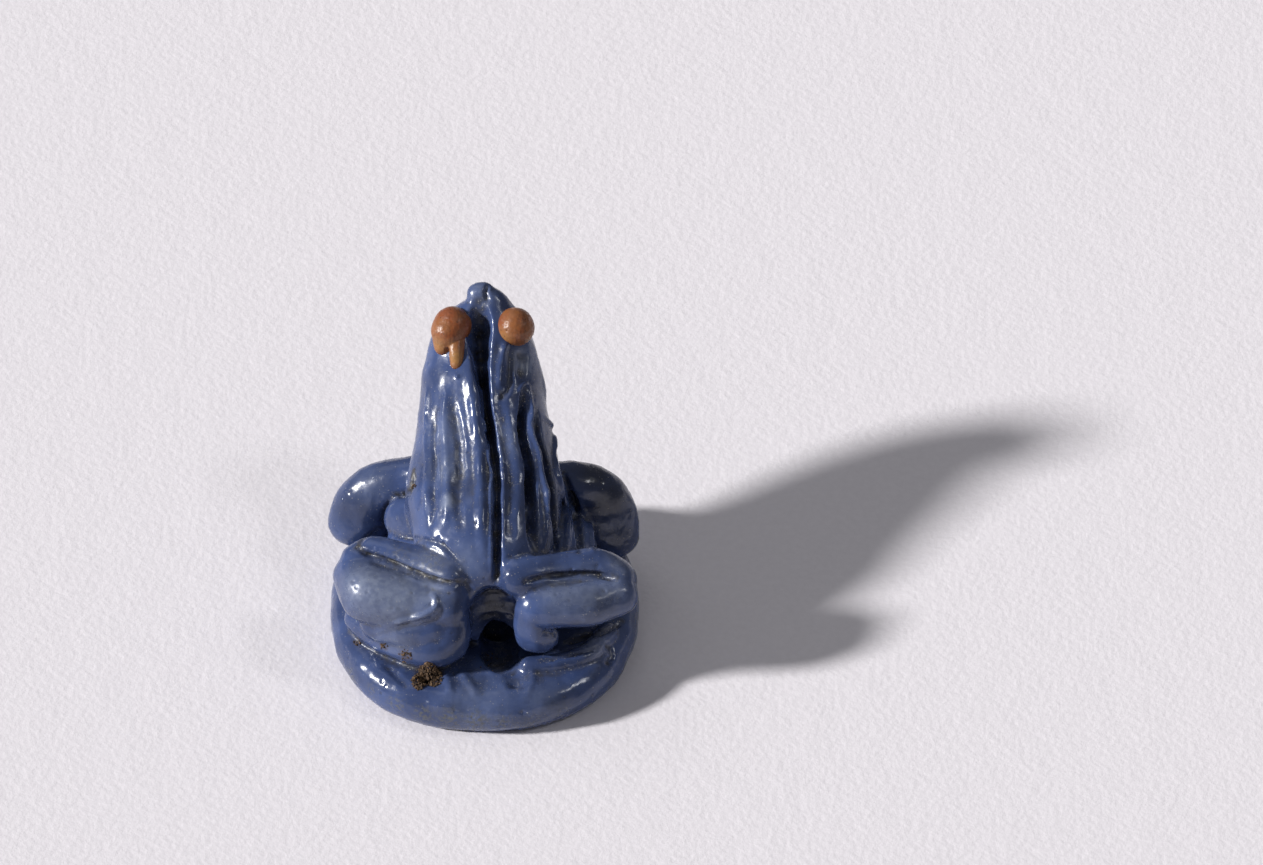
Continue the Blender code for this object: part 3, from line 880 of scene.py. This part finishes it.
    strokes: tuple[Stroke, ...] = (
        # the cleft between the eyes, running down into the middle groove
        Stroke(((481, 305, 9), (479.5, 320, 13), (479.5, 335, 13), (480.5, 350, 11), (482, 368, 8.5),
                (485.5, 388, 6.5), (488, 408, 5.5), (491.5, 428, 5.5), (494.5, 445, 5.5), (498, 465, 5.5)),
               1.0, Bite.ROUND, 0.75),
        Stroke(((489, 284, 3), (487, 292, 3.5), (489, 301, 3)), 0.16),
        Stroke(((502, 345, 9), (500, 375, 9), (501, 405, 9), (506, 440, 9), (511, 475, 9), (511, 510, 9),
                (511, 545, 9)), 0.09),
        Stroke(((496, 455, 4.5), (498.5, 475, 5), (499, 495, 4.5), (499, 520, 4.5), (499, 545, 4.5),
                (498.5, 562, 4.5), (497, 578, 4)), 0.42, Bite.ROUND, 0.5),
        # left of the cleft
        Stroke(((470, 365, 7), (472, 385, 8), (475, 405, 9), (478, 430, 9), (481, 460, 9), (482, 490, 9),
                (483, 520, 9), (484, 550, 8)), -0.15),
        Stroke(((436, 408, 4), (435.4, 425, 5), (435.4, 445, 5), (436, 470, 5), (434.5, 490, 5),
                (436, 506, 5), (432, 526, 4)), 0.11, Bite.BELL, 0.3),
        Stroke(((454, 400, 5), (455, 412, 6.5), (458, 428, 7), (461, 444, 7), (461, 456, 7),
                (462, 470, 7), (460, 487, 7), (460, 504, 7), (463, 526, 6)), 0.14, Bite.BELL, 0.5),
        Stroke(((447.5, 388, 5), (445, 411, 7), (447, 440, 7), (449, 470, 7), (449, 500, 7), (447, 522, 6)),
               -0.09),
        Stroke(((428, 385, 4), (427, 410, 5), (427, 440, 5), (428, 480, 5), (426, 515, 5)), -0.06),
        # right of the cleft: the brow, then a hollow, greyed with painted reflection, and its pit
        Stroke(((507, 340, 6), (503, 355, 6.5), (500.5, 372, 6.5), (501, 388, 6)), -0.16),
        Stroke(((523, 350, 9), (522, 365, 10), (522, 378, 7)), 0.16),
        Stroke(((503, 393, 3.5), (504, 398, 4)), 0.18, Bite.BELL, 0.9),
        Stroke(((512, 352, 4), (511, 370, 4.5), (510, 386, 4), (506, 396, 3.5)), 0.12, Bite.BELL, 0.5),
        # the deep grooves of the right flank and the ridges between them
        Stroke(((524, 390, 4), (524, 404, 5), (523, 420, 5), (524, 436, 5), (528, 452, 5.5), (531, 469, 6),
                (532, 490, 6.5), (533, 510, 7), (534, 530, 7), (536, 548, 5.5)), 0.55, Bite.ROUND, 0.75),
        Stroke(((529, 383, 3), (531, 397, 3.5), (531.5, 408, 3.5), (531, 420, 4), (532, 431, 4),
                (536, 443, 4), (540, 456, 4.5), (543, 477, 4.5), (546, 492, 4.5), (547, 510, 4.5),
                (546.5, 534, 4.5), (543, 548, 4)), -0.17),
        Stroke(((537.5, 412, 3.5), (538, 428, 4), (540, 440, 4.5), (545, 455, 4.5), (550, 474, 5),
                (553, 494, 5), (555, 514, 5.5), (556, 532, 5.5), (556, 548, 4)), 0.42, Bite.ROUND, 0.7),
        Stroke(((545, 415, 4), (551, 424, 5), (554, 438, 5), (555, 455, 5), (558, 473, 5), (562, 486, 5),
                (566, 503, 5), (568, 520, 5), (567, 540, 5), (565, 550, 4)), -0.15),
        Stroke(((564, 472, 3.5), (569, 488, 4.5), (575, 503, 5), (578, 520, 5.5), (580, 535, 5),
                (581, 549, 4)), 0.34, Bite.ROUND, 0.7),
        Stroke(((577, 500, 4), (584, 511, 5), (589, 523, 5.5), (592, 538, 5), (593, 549, 4)), -0.10),
        # between arm and flank
        Stroke(((415, 470, 4), (414, 480, 5), (411, 489, 5), (404, 494, 4.5), (396, 494, 3.5)),
               0.12, Bite.BELL, 1.0),
        Stroke(((394, 497, 3), (388, 504, 3.5), (384, 513, 3.5), (384, 524, 3)), 0.07, Bite.BELL, 0.8),
        Stroke(((358, 547, 4), (363, 540, 4.5), (374, 531, 4.5), (381, 527, 4)), 0.05, Bite.BELL, 0.7),
        # left thigh, above and below
        Stroke(((384, 526, 3), (402, 534, 3.5), (420, 536.5, 3.5), (441, 541, 4), (452, 550, 4),
                (464, 562, 4)), 0.12, Bite.BELL, 0.4),
        Stroke(((360, 545, 4), (368, 551, 4.5), (384, 556, 4.5), (404, 564, 4.5), (420, 571, 4.5),
                (436, 577, 4.5), (452, 580, 4.5), (466, 580, 4)), 0.24, Bite.BELL, 1.0),
        Stroke(((364, 557, 3.5), (384, 562.5, 3.5), (404, 571, 3.5), (420, 578, 3.5), (436, 584, 3.5),
                (452, 587, 4), (464, 587, 4)), -0.06),
        # the overlap of the left shin over its foot
        Stroke(((445, 604, 3.5), (441, 613, 4), (430, 620, 4), (411, 624, 4), (392, 629, 4), (376, 634, 3.5)),
               0.05, Bite.BELL, 0.2),
        Stroke(((434, 590, 4), (438, 598, 5), (436, 606, 5), (424, 612, 5), (405, 617, 5), (386, 623, 4.5)),
               -0.11),
        # right thigh and shin
        Stroke(((526, 579, 4), (545, 574, 4.5), (565, 572.5, 4.5), (585, 571.5, 4.5), (602, 573, 4.5),
                (616, 577, 4)), 0.24, Bite.BELL, 0.9),
        Stroke(((533, 553, 3), (550, 550.5, 3.5), (579, 547.5, 3.5), (598, 546.5, 3)), 0.12, Bite.BELL, 0.6),
        Stroke(((566, 641, 3), (576, 638, 4), (592, 633, 4), (608, 628, 4), (622, 620, 3.5)),
               0.2, Bite.BELL, 0.8),
        Stroke(((543, 629, 4), (549, 630, 4.5), (556, 631, 4)), 0.09, Bite.BELL, 0.1),
        # the rump, sunk between the heels
        Stroke(((494, 584, 18), (494, 602, 25), (494, 620, 26), (495, 636, 24)), 0.5),
        # toes of the right foot
        Stroke(((540, 659, 2.5), (560, 654, 3), (580, 650, 3), (600, 645, 2.5)), 0.12, Bite.BELL, 0.4),
        # the scoop behind the carrying hole, with its right rim
        Stroke(((512, 667, 13), (516, 676, 14), (519, 685, 11)), 0.14, Bite.BELL, 0.45),
        Stroke(((532, 664, 4), (534, 675, 5), (529, 690, 5)), -0.05),
        # lumps and pits of the base
        Stroke(((429, 671, 13), (433, 677, 12)), 0.5, Bite.ROUND, 0.9),
        Stroke(((447, 668, 6), (450, 680, 7), (452, 692, 6)), -0.07),
        Stroke(((462, 668, 6), (470, 680, 7), (480, 692, 7)), -0.07),
        Stroke(((427, 698, 6), (440, 701, 7), (456, 702, 6)), -0.07),
        Stroke(((386, 662, 5), (398, 672, 6), (410, 684, 5)), 0.08),
        Stroke(((606, 640, 5), (612, 652, 5), (606, 662, 5)), 0.10),
        # the mouth and nostrils, seen from in front
        Stroke(((437, 436, 6), (452, 423, 6.5), (471, 417, 6.5), (491, 416, 6.5), (507, 419, 6.5),
                (521, 426, 6.5), (533, 437, 6)), 0.22, Bite.BELL, 0.4, Side.FACE),
        Stroke(((473, 384, 4.5), (474, 385, 4.5)), 0.26, Bite.BELL, 0.5, Side.FACE),
        Stroke(((497, 387, 4.5), (496, 388, 4.5)), 0.26, Bite.BELL, 0.5, Side.FACE),
    )
    lips: tuple[Stroke, ...] = (
        Stroke(((467, 320, 2.4), (468, 340, 2.4), (472, 356, 2.4), (475.5, 370, 2.4), (478.5, 384, 2.4),
                (482, 397, 2.4), (483.5, 412, 2.4), (485.5, 427, 2.4), (489, 438, 2.6), (489.5, 458, 2.6),
                (493, 472, 2.6), (491.5, 490, 2.6), (492, 520, 2.6), (492, 550, 2.6), (492.5, 572, 2.4)),
               -0.07),
        Stroke(((519, 391, 2), (521, 387, 2.4), (525, 382, 2.4), (529, 382, 2)), -0.07),
        Stroke(((440, 410, 2), (440, 426, 2), (438.5, 440, 2), (440, 456, 2), (441.5, 470, 2), (441, 486, 2)),
               -0.025),
        Stroke(((457, 375, 3), (460, 376, 3)), -0.05),
    )
    # haze on the shins and elsewhere; the spots on the right cheek and on the right shin and knee are painted
    # reflection
    haze_and_reflection_spots: tuple[Spot, ...] = (
        Spot(372, 585, 34, 0.8), Spot(400, 592, 36, 0.85), Spot(428, 590, 26, 0.6), Spot(385, 612, 22, 0.5),
        Spot(590, 592, 30, 0.6), Spot(565, 592, 26, 0.5), Spot(612, 590, 22, 0.5), Spot(620, 560, 16, 0.5),
        Spot(524, 362, 16, 0.8), Spot(545, 395, 14, 0.5), Spot(449, 500, 9, 0.9), Spot(470, 560, 20, 0.3),
        Spot(448, 430, 22, 0.35), Spot(450, 465, 22, 0.35), Spot(508, 440, 18, 0.3), Spot(370, 486, 22, 0.3),
        Spot(482, 292, 16, 0.35), Spot(480, 700, 40, 0.25), Spot(395, 640, 24, 0.35), Spot(545, 700, 30, 0.2),
        Spot(430, 560, 22, 0.3), Spot(595, 640, 20, 0.5),
    )
    # painted shade: the right arm in the body's shadow and the rump in the left heel's shadow; the rest are
    # darker patches on the left arm, the feet and the right shin
    painted_shade_and_dark_spots: tuple[Spot, ...] = (
        Spot(612, 500, 34, 0.9), Spot(596, 474, 26, 0.9), Spot(620, 535, 22, 0.6), Spot(352, 508, 30, 0.5),
        Spot(380, 478, 26, 0.4), Spot(494, 612, 24, 0.9), Spot(494, 596, 18, 0.7), Spot(505, 575, 16, 0.2),
        Spot(440, 645, 26, 0.2), Spot(596, 600, 18, 0.45), Spot(578, 600, 14, 0.3),
    )
    earth_spots: tuple[Spot, ...] = (
        Spot(431, 672, 13, 1.2), Spot(359, 641, 4, 0.9), Spot(386, 645, 4.5, 0.9), Spot(407, 654, 7, 0.8),
    )
    crust_spots: tuple[Spot, ...] = (
        Spot(425, 713, 13, 0.7), Spot(450, 717, 14, 0.8), Spot(478, 719, 14, 0.8), Spot(505, 720, 12, 0.6),
        Spot(398, 703, 12, 0.6), Spot(375, 690, 10, 0.4), Spot(352, 672, 10, 0.5), Spot(535, 719, 12, 0.4),
        Spot(565, 711, 12, 0.4), Spot(430, 563, 20, 0.35), Spot(400, 552, 14, 0.3),
    )
    skin: Skin | None = field(default=None, init=False)

    def base(self) -> bpy.types.Object:
        """Makes the oval base, a thick disc with a round edge.

        Returns:
            The base as an object.
        """
        bm = bmesh.new()
        steps = self.base_edge_steps
        bmesh.ops.create_circle(bm, cap_ends=True, segments=self.base_sides, radius=1.0)
        rim = sorted(bm.verts, key=lambda vert: math.atan2(vert.co.y, vert.co.x))
        shape = [
            (
                math.copysign(abs(vert.co.x) ** self.base_squareness, vert.co.x) * self.base_width / 2,
                math.copysign(abs(vert.co.y) ** self.base_squareness, vert.co.y) * self.base_length / 2,
            )
            for vert in rim
        ]
        face = bm.faces[:][0]
        for step in range(steps + 1):
            angle = math.pi * (step / steps - 0.5)
            inset = self.base_edge * (1 - math.cos(angle))
            height = BASE_HEIGHT / 2 * (1 + math.sin(angle))
            if step:
                raised = bmesh.ops.extrude_face_region(bm, geom=[face])["geom"]
                face = next(item for item in raised if isinstance(item, bmesh.types.BMFace))
                rim = sorted(face.verts, key=lambda vert: math.atan2(vert.co.y, vert.co.x))
            wide = 1 - 2 * inset / self.base_width
            long = 1 - 2 * inset / self.base_length
            for vert, (x, y) in zip(rim, shape):
                vert.co = (x * wide, y * long, height)
        bmesh.ops.recalc_face_normals(bm, faces=bm.faces)
        return to_object(bm, "base")

    def tunnel(self) -> bpy.types.Object:
        """Makes the cutter of the carrying hole, a round passage along the base's top.

        Returns:
            The cutter as an object.
        """
        half = self.tunnel_width / 2
        stretch = self.tunnel_height / self.tunnel_width
        level = self.tunnel_floor + self.tunnel_height / 2
        figure = Figure()
        count = 2 * figure.BALLS_PER_STEP * (len(self.tunnel_way) - 1) + 1
        for index in range(count):
            x, y, z, share = along(self.tunnel_way, index / (count - 1))
            spot = Vector((
                self.tunnel_shift + x * self.tunnel_width,
                y * self.base_length,
                level + z * self.tunnel_width,
            ))
            figure.add_ball(spot, Vector((half, half, half * stretch)) * share)
        cutter = to_object(figure.bm, "tunnel_cutter")
        melt(cutter, 2 * self.grain, self.tunnel_rounds)
        return cutter

    def build(self) -> bpy.types.Object:
        """Models the frog and its base.

        Returns:
            The piece, in metres, in its place.
        """
        figure = Figure()
        for keys in self.limbs:
            figure.add_limb(keys)
        base = self.base()
        figure.bm.from_mesh(base.data)
        bpy.data.objects.remove(base, do_unlink=True)
        piece = to_object(figure.bm, "glass_frog")
        melt(piece, self.grain, self.soft_rounds)
        cutter = self.tunnel()
        cut = piece.modifiers.new("Bore", "BOOLEAN")
        cut.operation = "DIFFERENCE"
        cut.solver = "MANIFOLD"
        cut.object = cutter
        settle(piece)
        bpy.data.objects.remove(cutter, do_unlink=True)
        LOG.info("glass_frog: forms melted, %d faces", len(piece.data.polygons))
        Skin(piece).carve(self.strokes)
        melt(piece, self.grain, self.carved_rounds)
        skin = Skin(piece)
        skin.carve(self.lips)
        for swelling in self.swellings:
            skin.roughen(*swelling)
        skin.dent(self.dents, self.dent_radius, self.dent_depth, self.dent_seed)
        self.grind(piece)
        thin_out(piece, self.faces)
        sweep(piece, self.least_island)
        self.paint(piece)
        return self.place(piece)

    def grind(self, piece: bpy.types.Object) -> None:
        """Grinds the underside flat at height 0."""
        bm = bmesh.new()
        bm.from_mesh(piece.data)
        bmesh.ops.bisect_plane(
            bm, geom=bm.verts[:] + bm.edges[:] + bm.faces[:], dist=self.ground_weld,
            plane_co=(0, 0, self.ground_off), plane_no=(0, 0, 1), clear_inner=True,
        )
        rim = [edge for edge in bm.edges if edge.is_boundary]
        bmesh.ops.contextual_create(bm, geom=rim)
        bmesh.ops.translate(bm, verts=bm.verts, vec=(0, 0, -self.ground_off))
        bmesh.ops.triangulate(bm, faces=[face for face in bm.faces if len(face.verts) > 4])
        bm.to_mesh(piece.data)
        bm.free()

    def paint(self, piece: bpy.types.Object) -> None:
        """Keeps on the skin where it is dirty, hazy or greyed by painted reflection, darkened by painted
        shade or darker patches, crusted or stained with earth.
        """
        skin = Skin(piece)
        self.skin = skin
        soil = skin.line(self.strokes, self.spill)
        for rounds, full, share in self.hollows:
            soil = np.maximum(soil, self.hollow_soil * share * skin.hollows(rounds, full))
        skin.attribute(SOIL, np.clip(soil, 0, 1))
        patches = (
            (HAZE_AND_REFLECTION, self.haze_and_reflection_spots), (PAINTED_SHADE_AND_DARK_PATCHES, self.painted_shade_and_dark_spots),
            (CRUST, self.crust_spots), (EARTH, self.earth_spots),
        )
        for name, spots in patches:
            skin.attribute(name, np.clip(skin.spread(spots), 0, 1))

    def place(self, piece: bpy.types.Object) -> bpy.types.Object:
        """Keeps the piece within the solid's box, turns it into metres and shades it smooth."""
        points = np.empty(len(piece.data.vertices) * 3, dtype=np.float32)
        piece.data.vertices.foreach_get("co", points)
        low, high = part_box("frog_and_base")
        points = np.clip(points.reshape(-1, 3) * MM, np.array(low), np.array(high))
        piece.data.vertices.foreach_set("co", points.astype(np.float32).ravel())
        piece.data.update()
        piece.data.shade_smooth()
        return piece

    def dress(self, piece: bpy.types.Object) -> None:
        """Gives the piece its glass and its place in the frame."""
        piece.data.materials.clear()
        piece.data.materials.append(BlueGlass().build())
        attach(piece, BODY)
        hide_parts("frog_and_base")


@dataclass
class Eye:
    """One applied drop of orange glass."""

    name: str
    node: str
    drops: tuple[Path, ...]
    pits: tuple[Spot, ...]
    tan_spots: tuple[Spot, ...]
    radius: float = 0.68
    grain: float = 0.022
    rounds: int = 6
    swellings: Path = ((0.5, 0.016, 5.0), (0.12, 0.004, 9.0))
    pit_length: float = 0.5

    def build(self) -> bpy.types.Object:
        """Models the eye.

        Returns:
            The piece, in metres, in its place.
        """
        figure = Figure()
        for keys in self.drops:
            count = figure.BALLS_PER_STEP * (len(keys) - 1) + 1
            for index in range(count):
                x, y, z, share = along(keys, index / (count - 1))
                centre = Vector((x, y + FIGURE_SHIFT, z + BASE_HEIGHT))
                figure.add_ball(centre, Vector([self.radius * share] * 3))
        piece = to_object(figure.bm, self.name)
        melt(piece, self.grain, self.rounds)
        skin = Skin(piece)
        for swelling in self.swellings:
            skin.roughen(*swelling)
        skin.carve(tuple(
            Stroke(
                ((pit.x, pit.y, pit.radius), (pit.x + self.pit_length, pit.y, pit.radius)),
                pit.amount, Bite.ROUND,
            )
            for pit in self.pits
        ))
        skin.attribute(RIM, np.clip(skin.spread(self.tan_spots), 0, 1))
        low, high = CAD_BOX
        skin.points = np.clip(skin.points * MM, np.array(low), np.array(high)).astype(np.float32)
        skin.store()
        piece.data.shade_smooth()
        return piece

    def dress(self, piece: bpy.types.Object, glass: bpy.types.Material) -> None:
        """Gives the piece its glass and its place in the frame."""
        piece.data.materials.clear()
        piece.data.materials.append(glass)
        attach(piece, BODY)
        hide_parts(self.node)


@dataclass
class Soil:
    """Crumbs of earth in the pit of the base and in a few hollows, melted into closed skins."""

    # each heap's place, its count of crumbs and its height
    heaps: tuple[tuple[Spot, int, float], ...] = (
        (Spot(430, 670, 10), 800, 0.38),
        (Spot(435, 676, 9), 600, 0.28),
        (Spot(421, 680, 8), 350, 0.14),
        (Spot(359, 641, 4), 26, 0.02),
        (Spot(386, 645, 4), 30, 0.02),
        (Spot(407, 654, 7), 70, 0.03),
        (Spot(414, 486, 4), 24, 0.02),
        (Spot(490, 662, 10), 40, 0.02),
    )
    crumb: tuple[float, float] = (0.012, 0.05)
    flatness: tuple[float, float] = (0.6, 1.2)
    raggedness: tuple[float, float] = (0.75, 1.15)
    lump: float = 0.25
    least_lift: float = 0.6
    bedding: float = 0.3
    grain: float = 0.016
    least_island: int = 40
    seed: int = 5

    def build(self, skin: Skin) -> bpy.types.Object:
        """Models the crumbs.

        Args:
            skin: the glass that they lie on, in millimetres.

        Returns:
            The piece, in metres, in its place.
        """
        rng = random.Random(self.seed)
        bm = bmesh.new()
        for spot, count, heap in self.heaps:
            for _ in range(count):
                away = spot.radius * math.sqrt(rng.random())
                turn = rng.uniform(0, 2 * math.pi)
                x = spot.x + away * math.cos(turn)
                y = spot.y + away * math.sin(turn)
                point, normal = skin.feel(x, y)
                if point is None:
                    continue
                smallest, largest = self.crumb
                size = smallest + (largest - smallest) * rng.random() ** 2
                ragged = self.least_lift + noise.noise(point / self.lump)
                lift = rng.random() * heap * ragged * (1 - (away / spot.radius) ** 2)
                self.add_crumb(bm, rng, point + normal * (lift + size * self.bedding), size)
        piece = to_object(bm, "soil_crumbs")
        melt(piece, self.grain, 0)
        sweep(piece, self.least_island)
        piece.data.transform(Matrix.Scale(MM, 4))
        piece.data.shade_smooth()
        return piece

    def add_crumb(self, bm: bmesh.types.BMesh, rng: random.Random, centre: Vector, size: float) -> None:
        """Adds one crumb, a small ball knocked out of shape."""
        made = bmesh.ops.create_icosphere(bm, subdivisions=1, radius=1.0)["verts"]
        stretch = Vector([size * rng.uniform(*self.flatness) for _ in range(3)])
        for vert in made:
            vert.co = centre + vert.co * stretch * rng.uniform(*self.raggedness)

    def dress(self, piece: bpy.types.Object) -> None:
        """Gives the piece its earth and its place in the frame."""
        piece.data.materials.clear()
        piece.data.materials.append(Earth().build())
        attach(piece, BODY)


@dataclass
class Studio:
    """The paper, the camera and the lights."""

    distance: float = 0.6
    sensor: float = 36.0
    floor_size: float = 1.6
    floor_cells: int = 4
    key_from: Point = (-1.97, -0.374, 1.0)
    key_strength: float = 5.3
    key_angle: float = math.radians(6)
    key_colour: Colour = (1.0, 0.985, 0.97)
    glint_from: Point = (0.9, -0.2, 1.1)
    glint_strength: float = 0.30
    glint_angle: float = math.radians(9)
    fill_at: Point = (-0.25, 0.35, 0.55)
    fill_size: tuple[float, float] = (0.35, 0.5)
    fill_power: float = 0.35
    fill_colour: Colour = (0.96, 0.97, 1.0)
    sky_colour: Colour = (0.95, 0.95, 1.0)
    sky_strength: float = 0.16
    clip: tuple[float, float] = (0.01, 20.0)

    def floor(self) -> None:
        """Lays the paper."""
        bm = bmesh.new()
        bmesh.ops.create_grid(
            bm, x_segments=self.floor_cells, y_segments=self.floor_cells, size=self.floor_size / 2,
        )
        paper = to_object(bm, "paper")
        paper.data.materials.append(Paper().build())

    def camera(self) -> None:
        """Sets the camera where the photograph was taken from, with its long lens."""
        data = bpy.data.cameras.new("camera")
        data.sensor_width = self.sensor
        frame_width = IMAGE_SIZE[0] / PIXELS_PER_MM * MM
        data.lens = self.sensor * self.distance / frame_width
        data.clip_start, data.clip_end = self.clip
        toward, up = Side.BACK.value
        across = (IMAGE_SIZE[0] / 2 - FOOT_PIXEL[0]) / PIXELS_PER_MM
        height = (FOOT_PIXEL[1] - IMAGE_SIZE[1] / 2) / PIXELS_PER_MM
        target = (Vector((across, FIGURE_SHIFT, 0)) + up * height) * MM
        camera = bpy.data.objects.new("camera", data)
        camera.location = target + toward * self.distance
        camera.rotation_euler = (math.pi / 2 - VIEW_ELEVATION, 0, 0)
        bpy.context.scene.collection.objects.link(camera)
        bpy.context.scene.camera = camera

    def aim(self, light: bpy.types.Light, place: Point, power: float) -> None:
        """Sets a light at a place, shining at the origin with its power."""
        light.energy = power
        item = bpy.data.objects.new(light.name, light)
        item.location = place
        item.rotation_euler = Vector(place).to_track_quat("Z", "Y").to_euler()
        bpy.context.scene.collection.objects.link(item)

    def lights(self) -> None:
        """Sets the low key light from the left, a weak one from the right, a fill and the sky."""
        key = bpy.data.lights.new("key", "SUN")
        key.angle = self.key_angle
        key.color = self.key_colour
        self.aim(key, self.key_from, self.key_strength)
        fill = bpy.data.lights.new("fill", "AREA")
        fill.shape = "RECTANGLE"
        fill.size, fill.size_y = self.fill_size
        fill.color = self.fill_colour
        self.aim(fill, self.fill_at, self.fill_power)
        glint = bpy.data.lights.new("glint", "SUN")
        glint.angle = self.glint_angle
        self.aim(glint, self.glint_from, self.glint_strength)
        world = bpy.data.worlds.new("surround")
        world.use_nodes = True
        background = world.node_tree.nodes["Background"]
        background.inputs["Color"].default_value = (*self.sky_colour, 1)
        background.inputs["Strength"].default_value = self.sky_strength
        bpy.context.scene.world = world
        bpy.context.scene.view_settings.view_transform = "Standard"


LEFT_EYE = Eye(
    name="left_eye_drop",
    node="left_eye",
    drops=(
        ((-1.12, 4.9, 7.85, 1.0), (-1.25, 4.7, 7.75, 0.95)),
        ((-1.4, 4.6, 7.5, 0.66), (-1.45, 4.4, 7.3, 0.5)),
        ((-1.0, 4.4, 7.6, 0.5), (-0.98, 4.0, 7.4, 0.42), (-0.98, 3.8, 7.2, 0.36), (-0.98, 3.7, 7.1, 0.32)),
    ),
    pits=(Spot(449, 351, 4.5, 0.2), Spot(462, 345, 2.5, 0.04)),
    tan_spots=(
        Spot(440, 345, 12, 0.8), Spot(457, 358, 11, 1.0), Spot(452, 346, 8, 0.6), Spot(437, 325, 8, 0.3),
    ),
)
RIGHT_EYE = Eye(
    name="right_eye_drop",
    node="right_eye",
    drops=(((1.1, 4.9, 7.8, 1.0), (1.12, 4.85, 7.8, 1.0)),),
    pits=(Spot(526, 320, 2.2, 0.08), Spot(507, 331, 2.0, 0.05)),
    tan_spots=(Spot(505, 338, 12, 0.7), Spot(530, 340, 9, 0.5)),
)


def main() -> None:
    """Builds the amulet's pieces in order and sets the studio."""
    logging.basicConfig(level=logging.INFO, format="%(name)s: %(message)s")
    studio = Studio()
    studio.camera()
    studio.lights()
    studio.floor()
    frog = GlassFrog()
    piece = frog.build()
    frog.dress(piece)
    LOG.info("glass_frog: %d triangles", triangles(piece))
    soil = Soil()
    crumbs = soil.build(frog.skin)
    soil.dress(crumbs)
    LOG.info("soil_crumbs: %d triangles", triangles(crumbs))
    orange = OrangeGlass().build()
    for eye in (LEFT_EYE, RIGHT_EYE):
        drop = eye.build()
        eye.dress(drop, orange)
        LOG.info("%s: %d triangles", eye.name, triangles(drop))


if __name__ == "__main__":
    main()
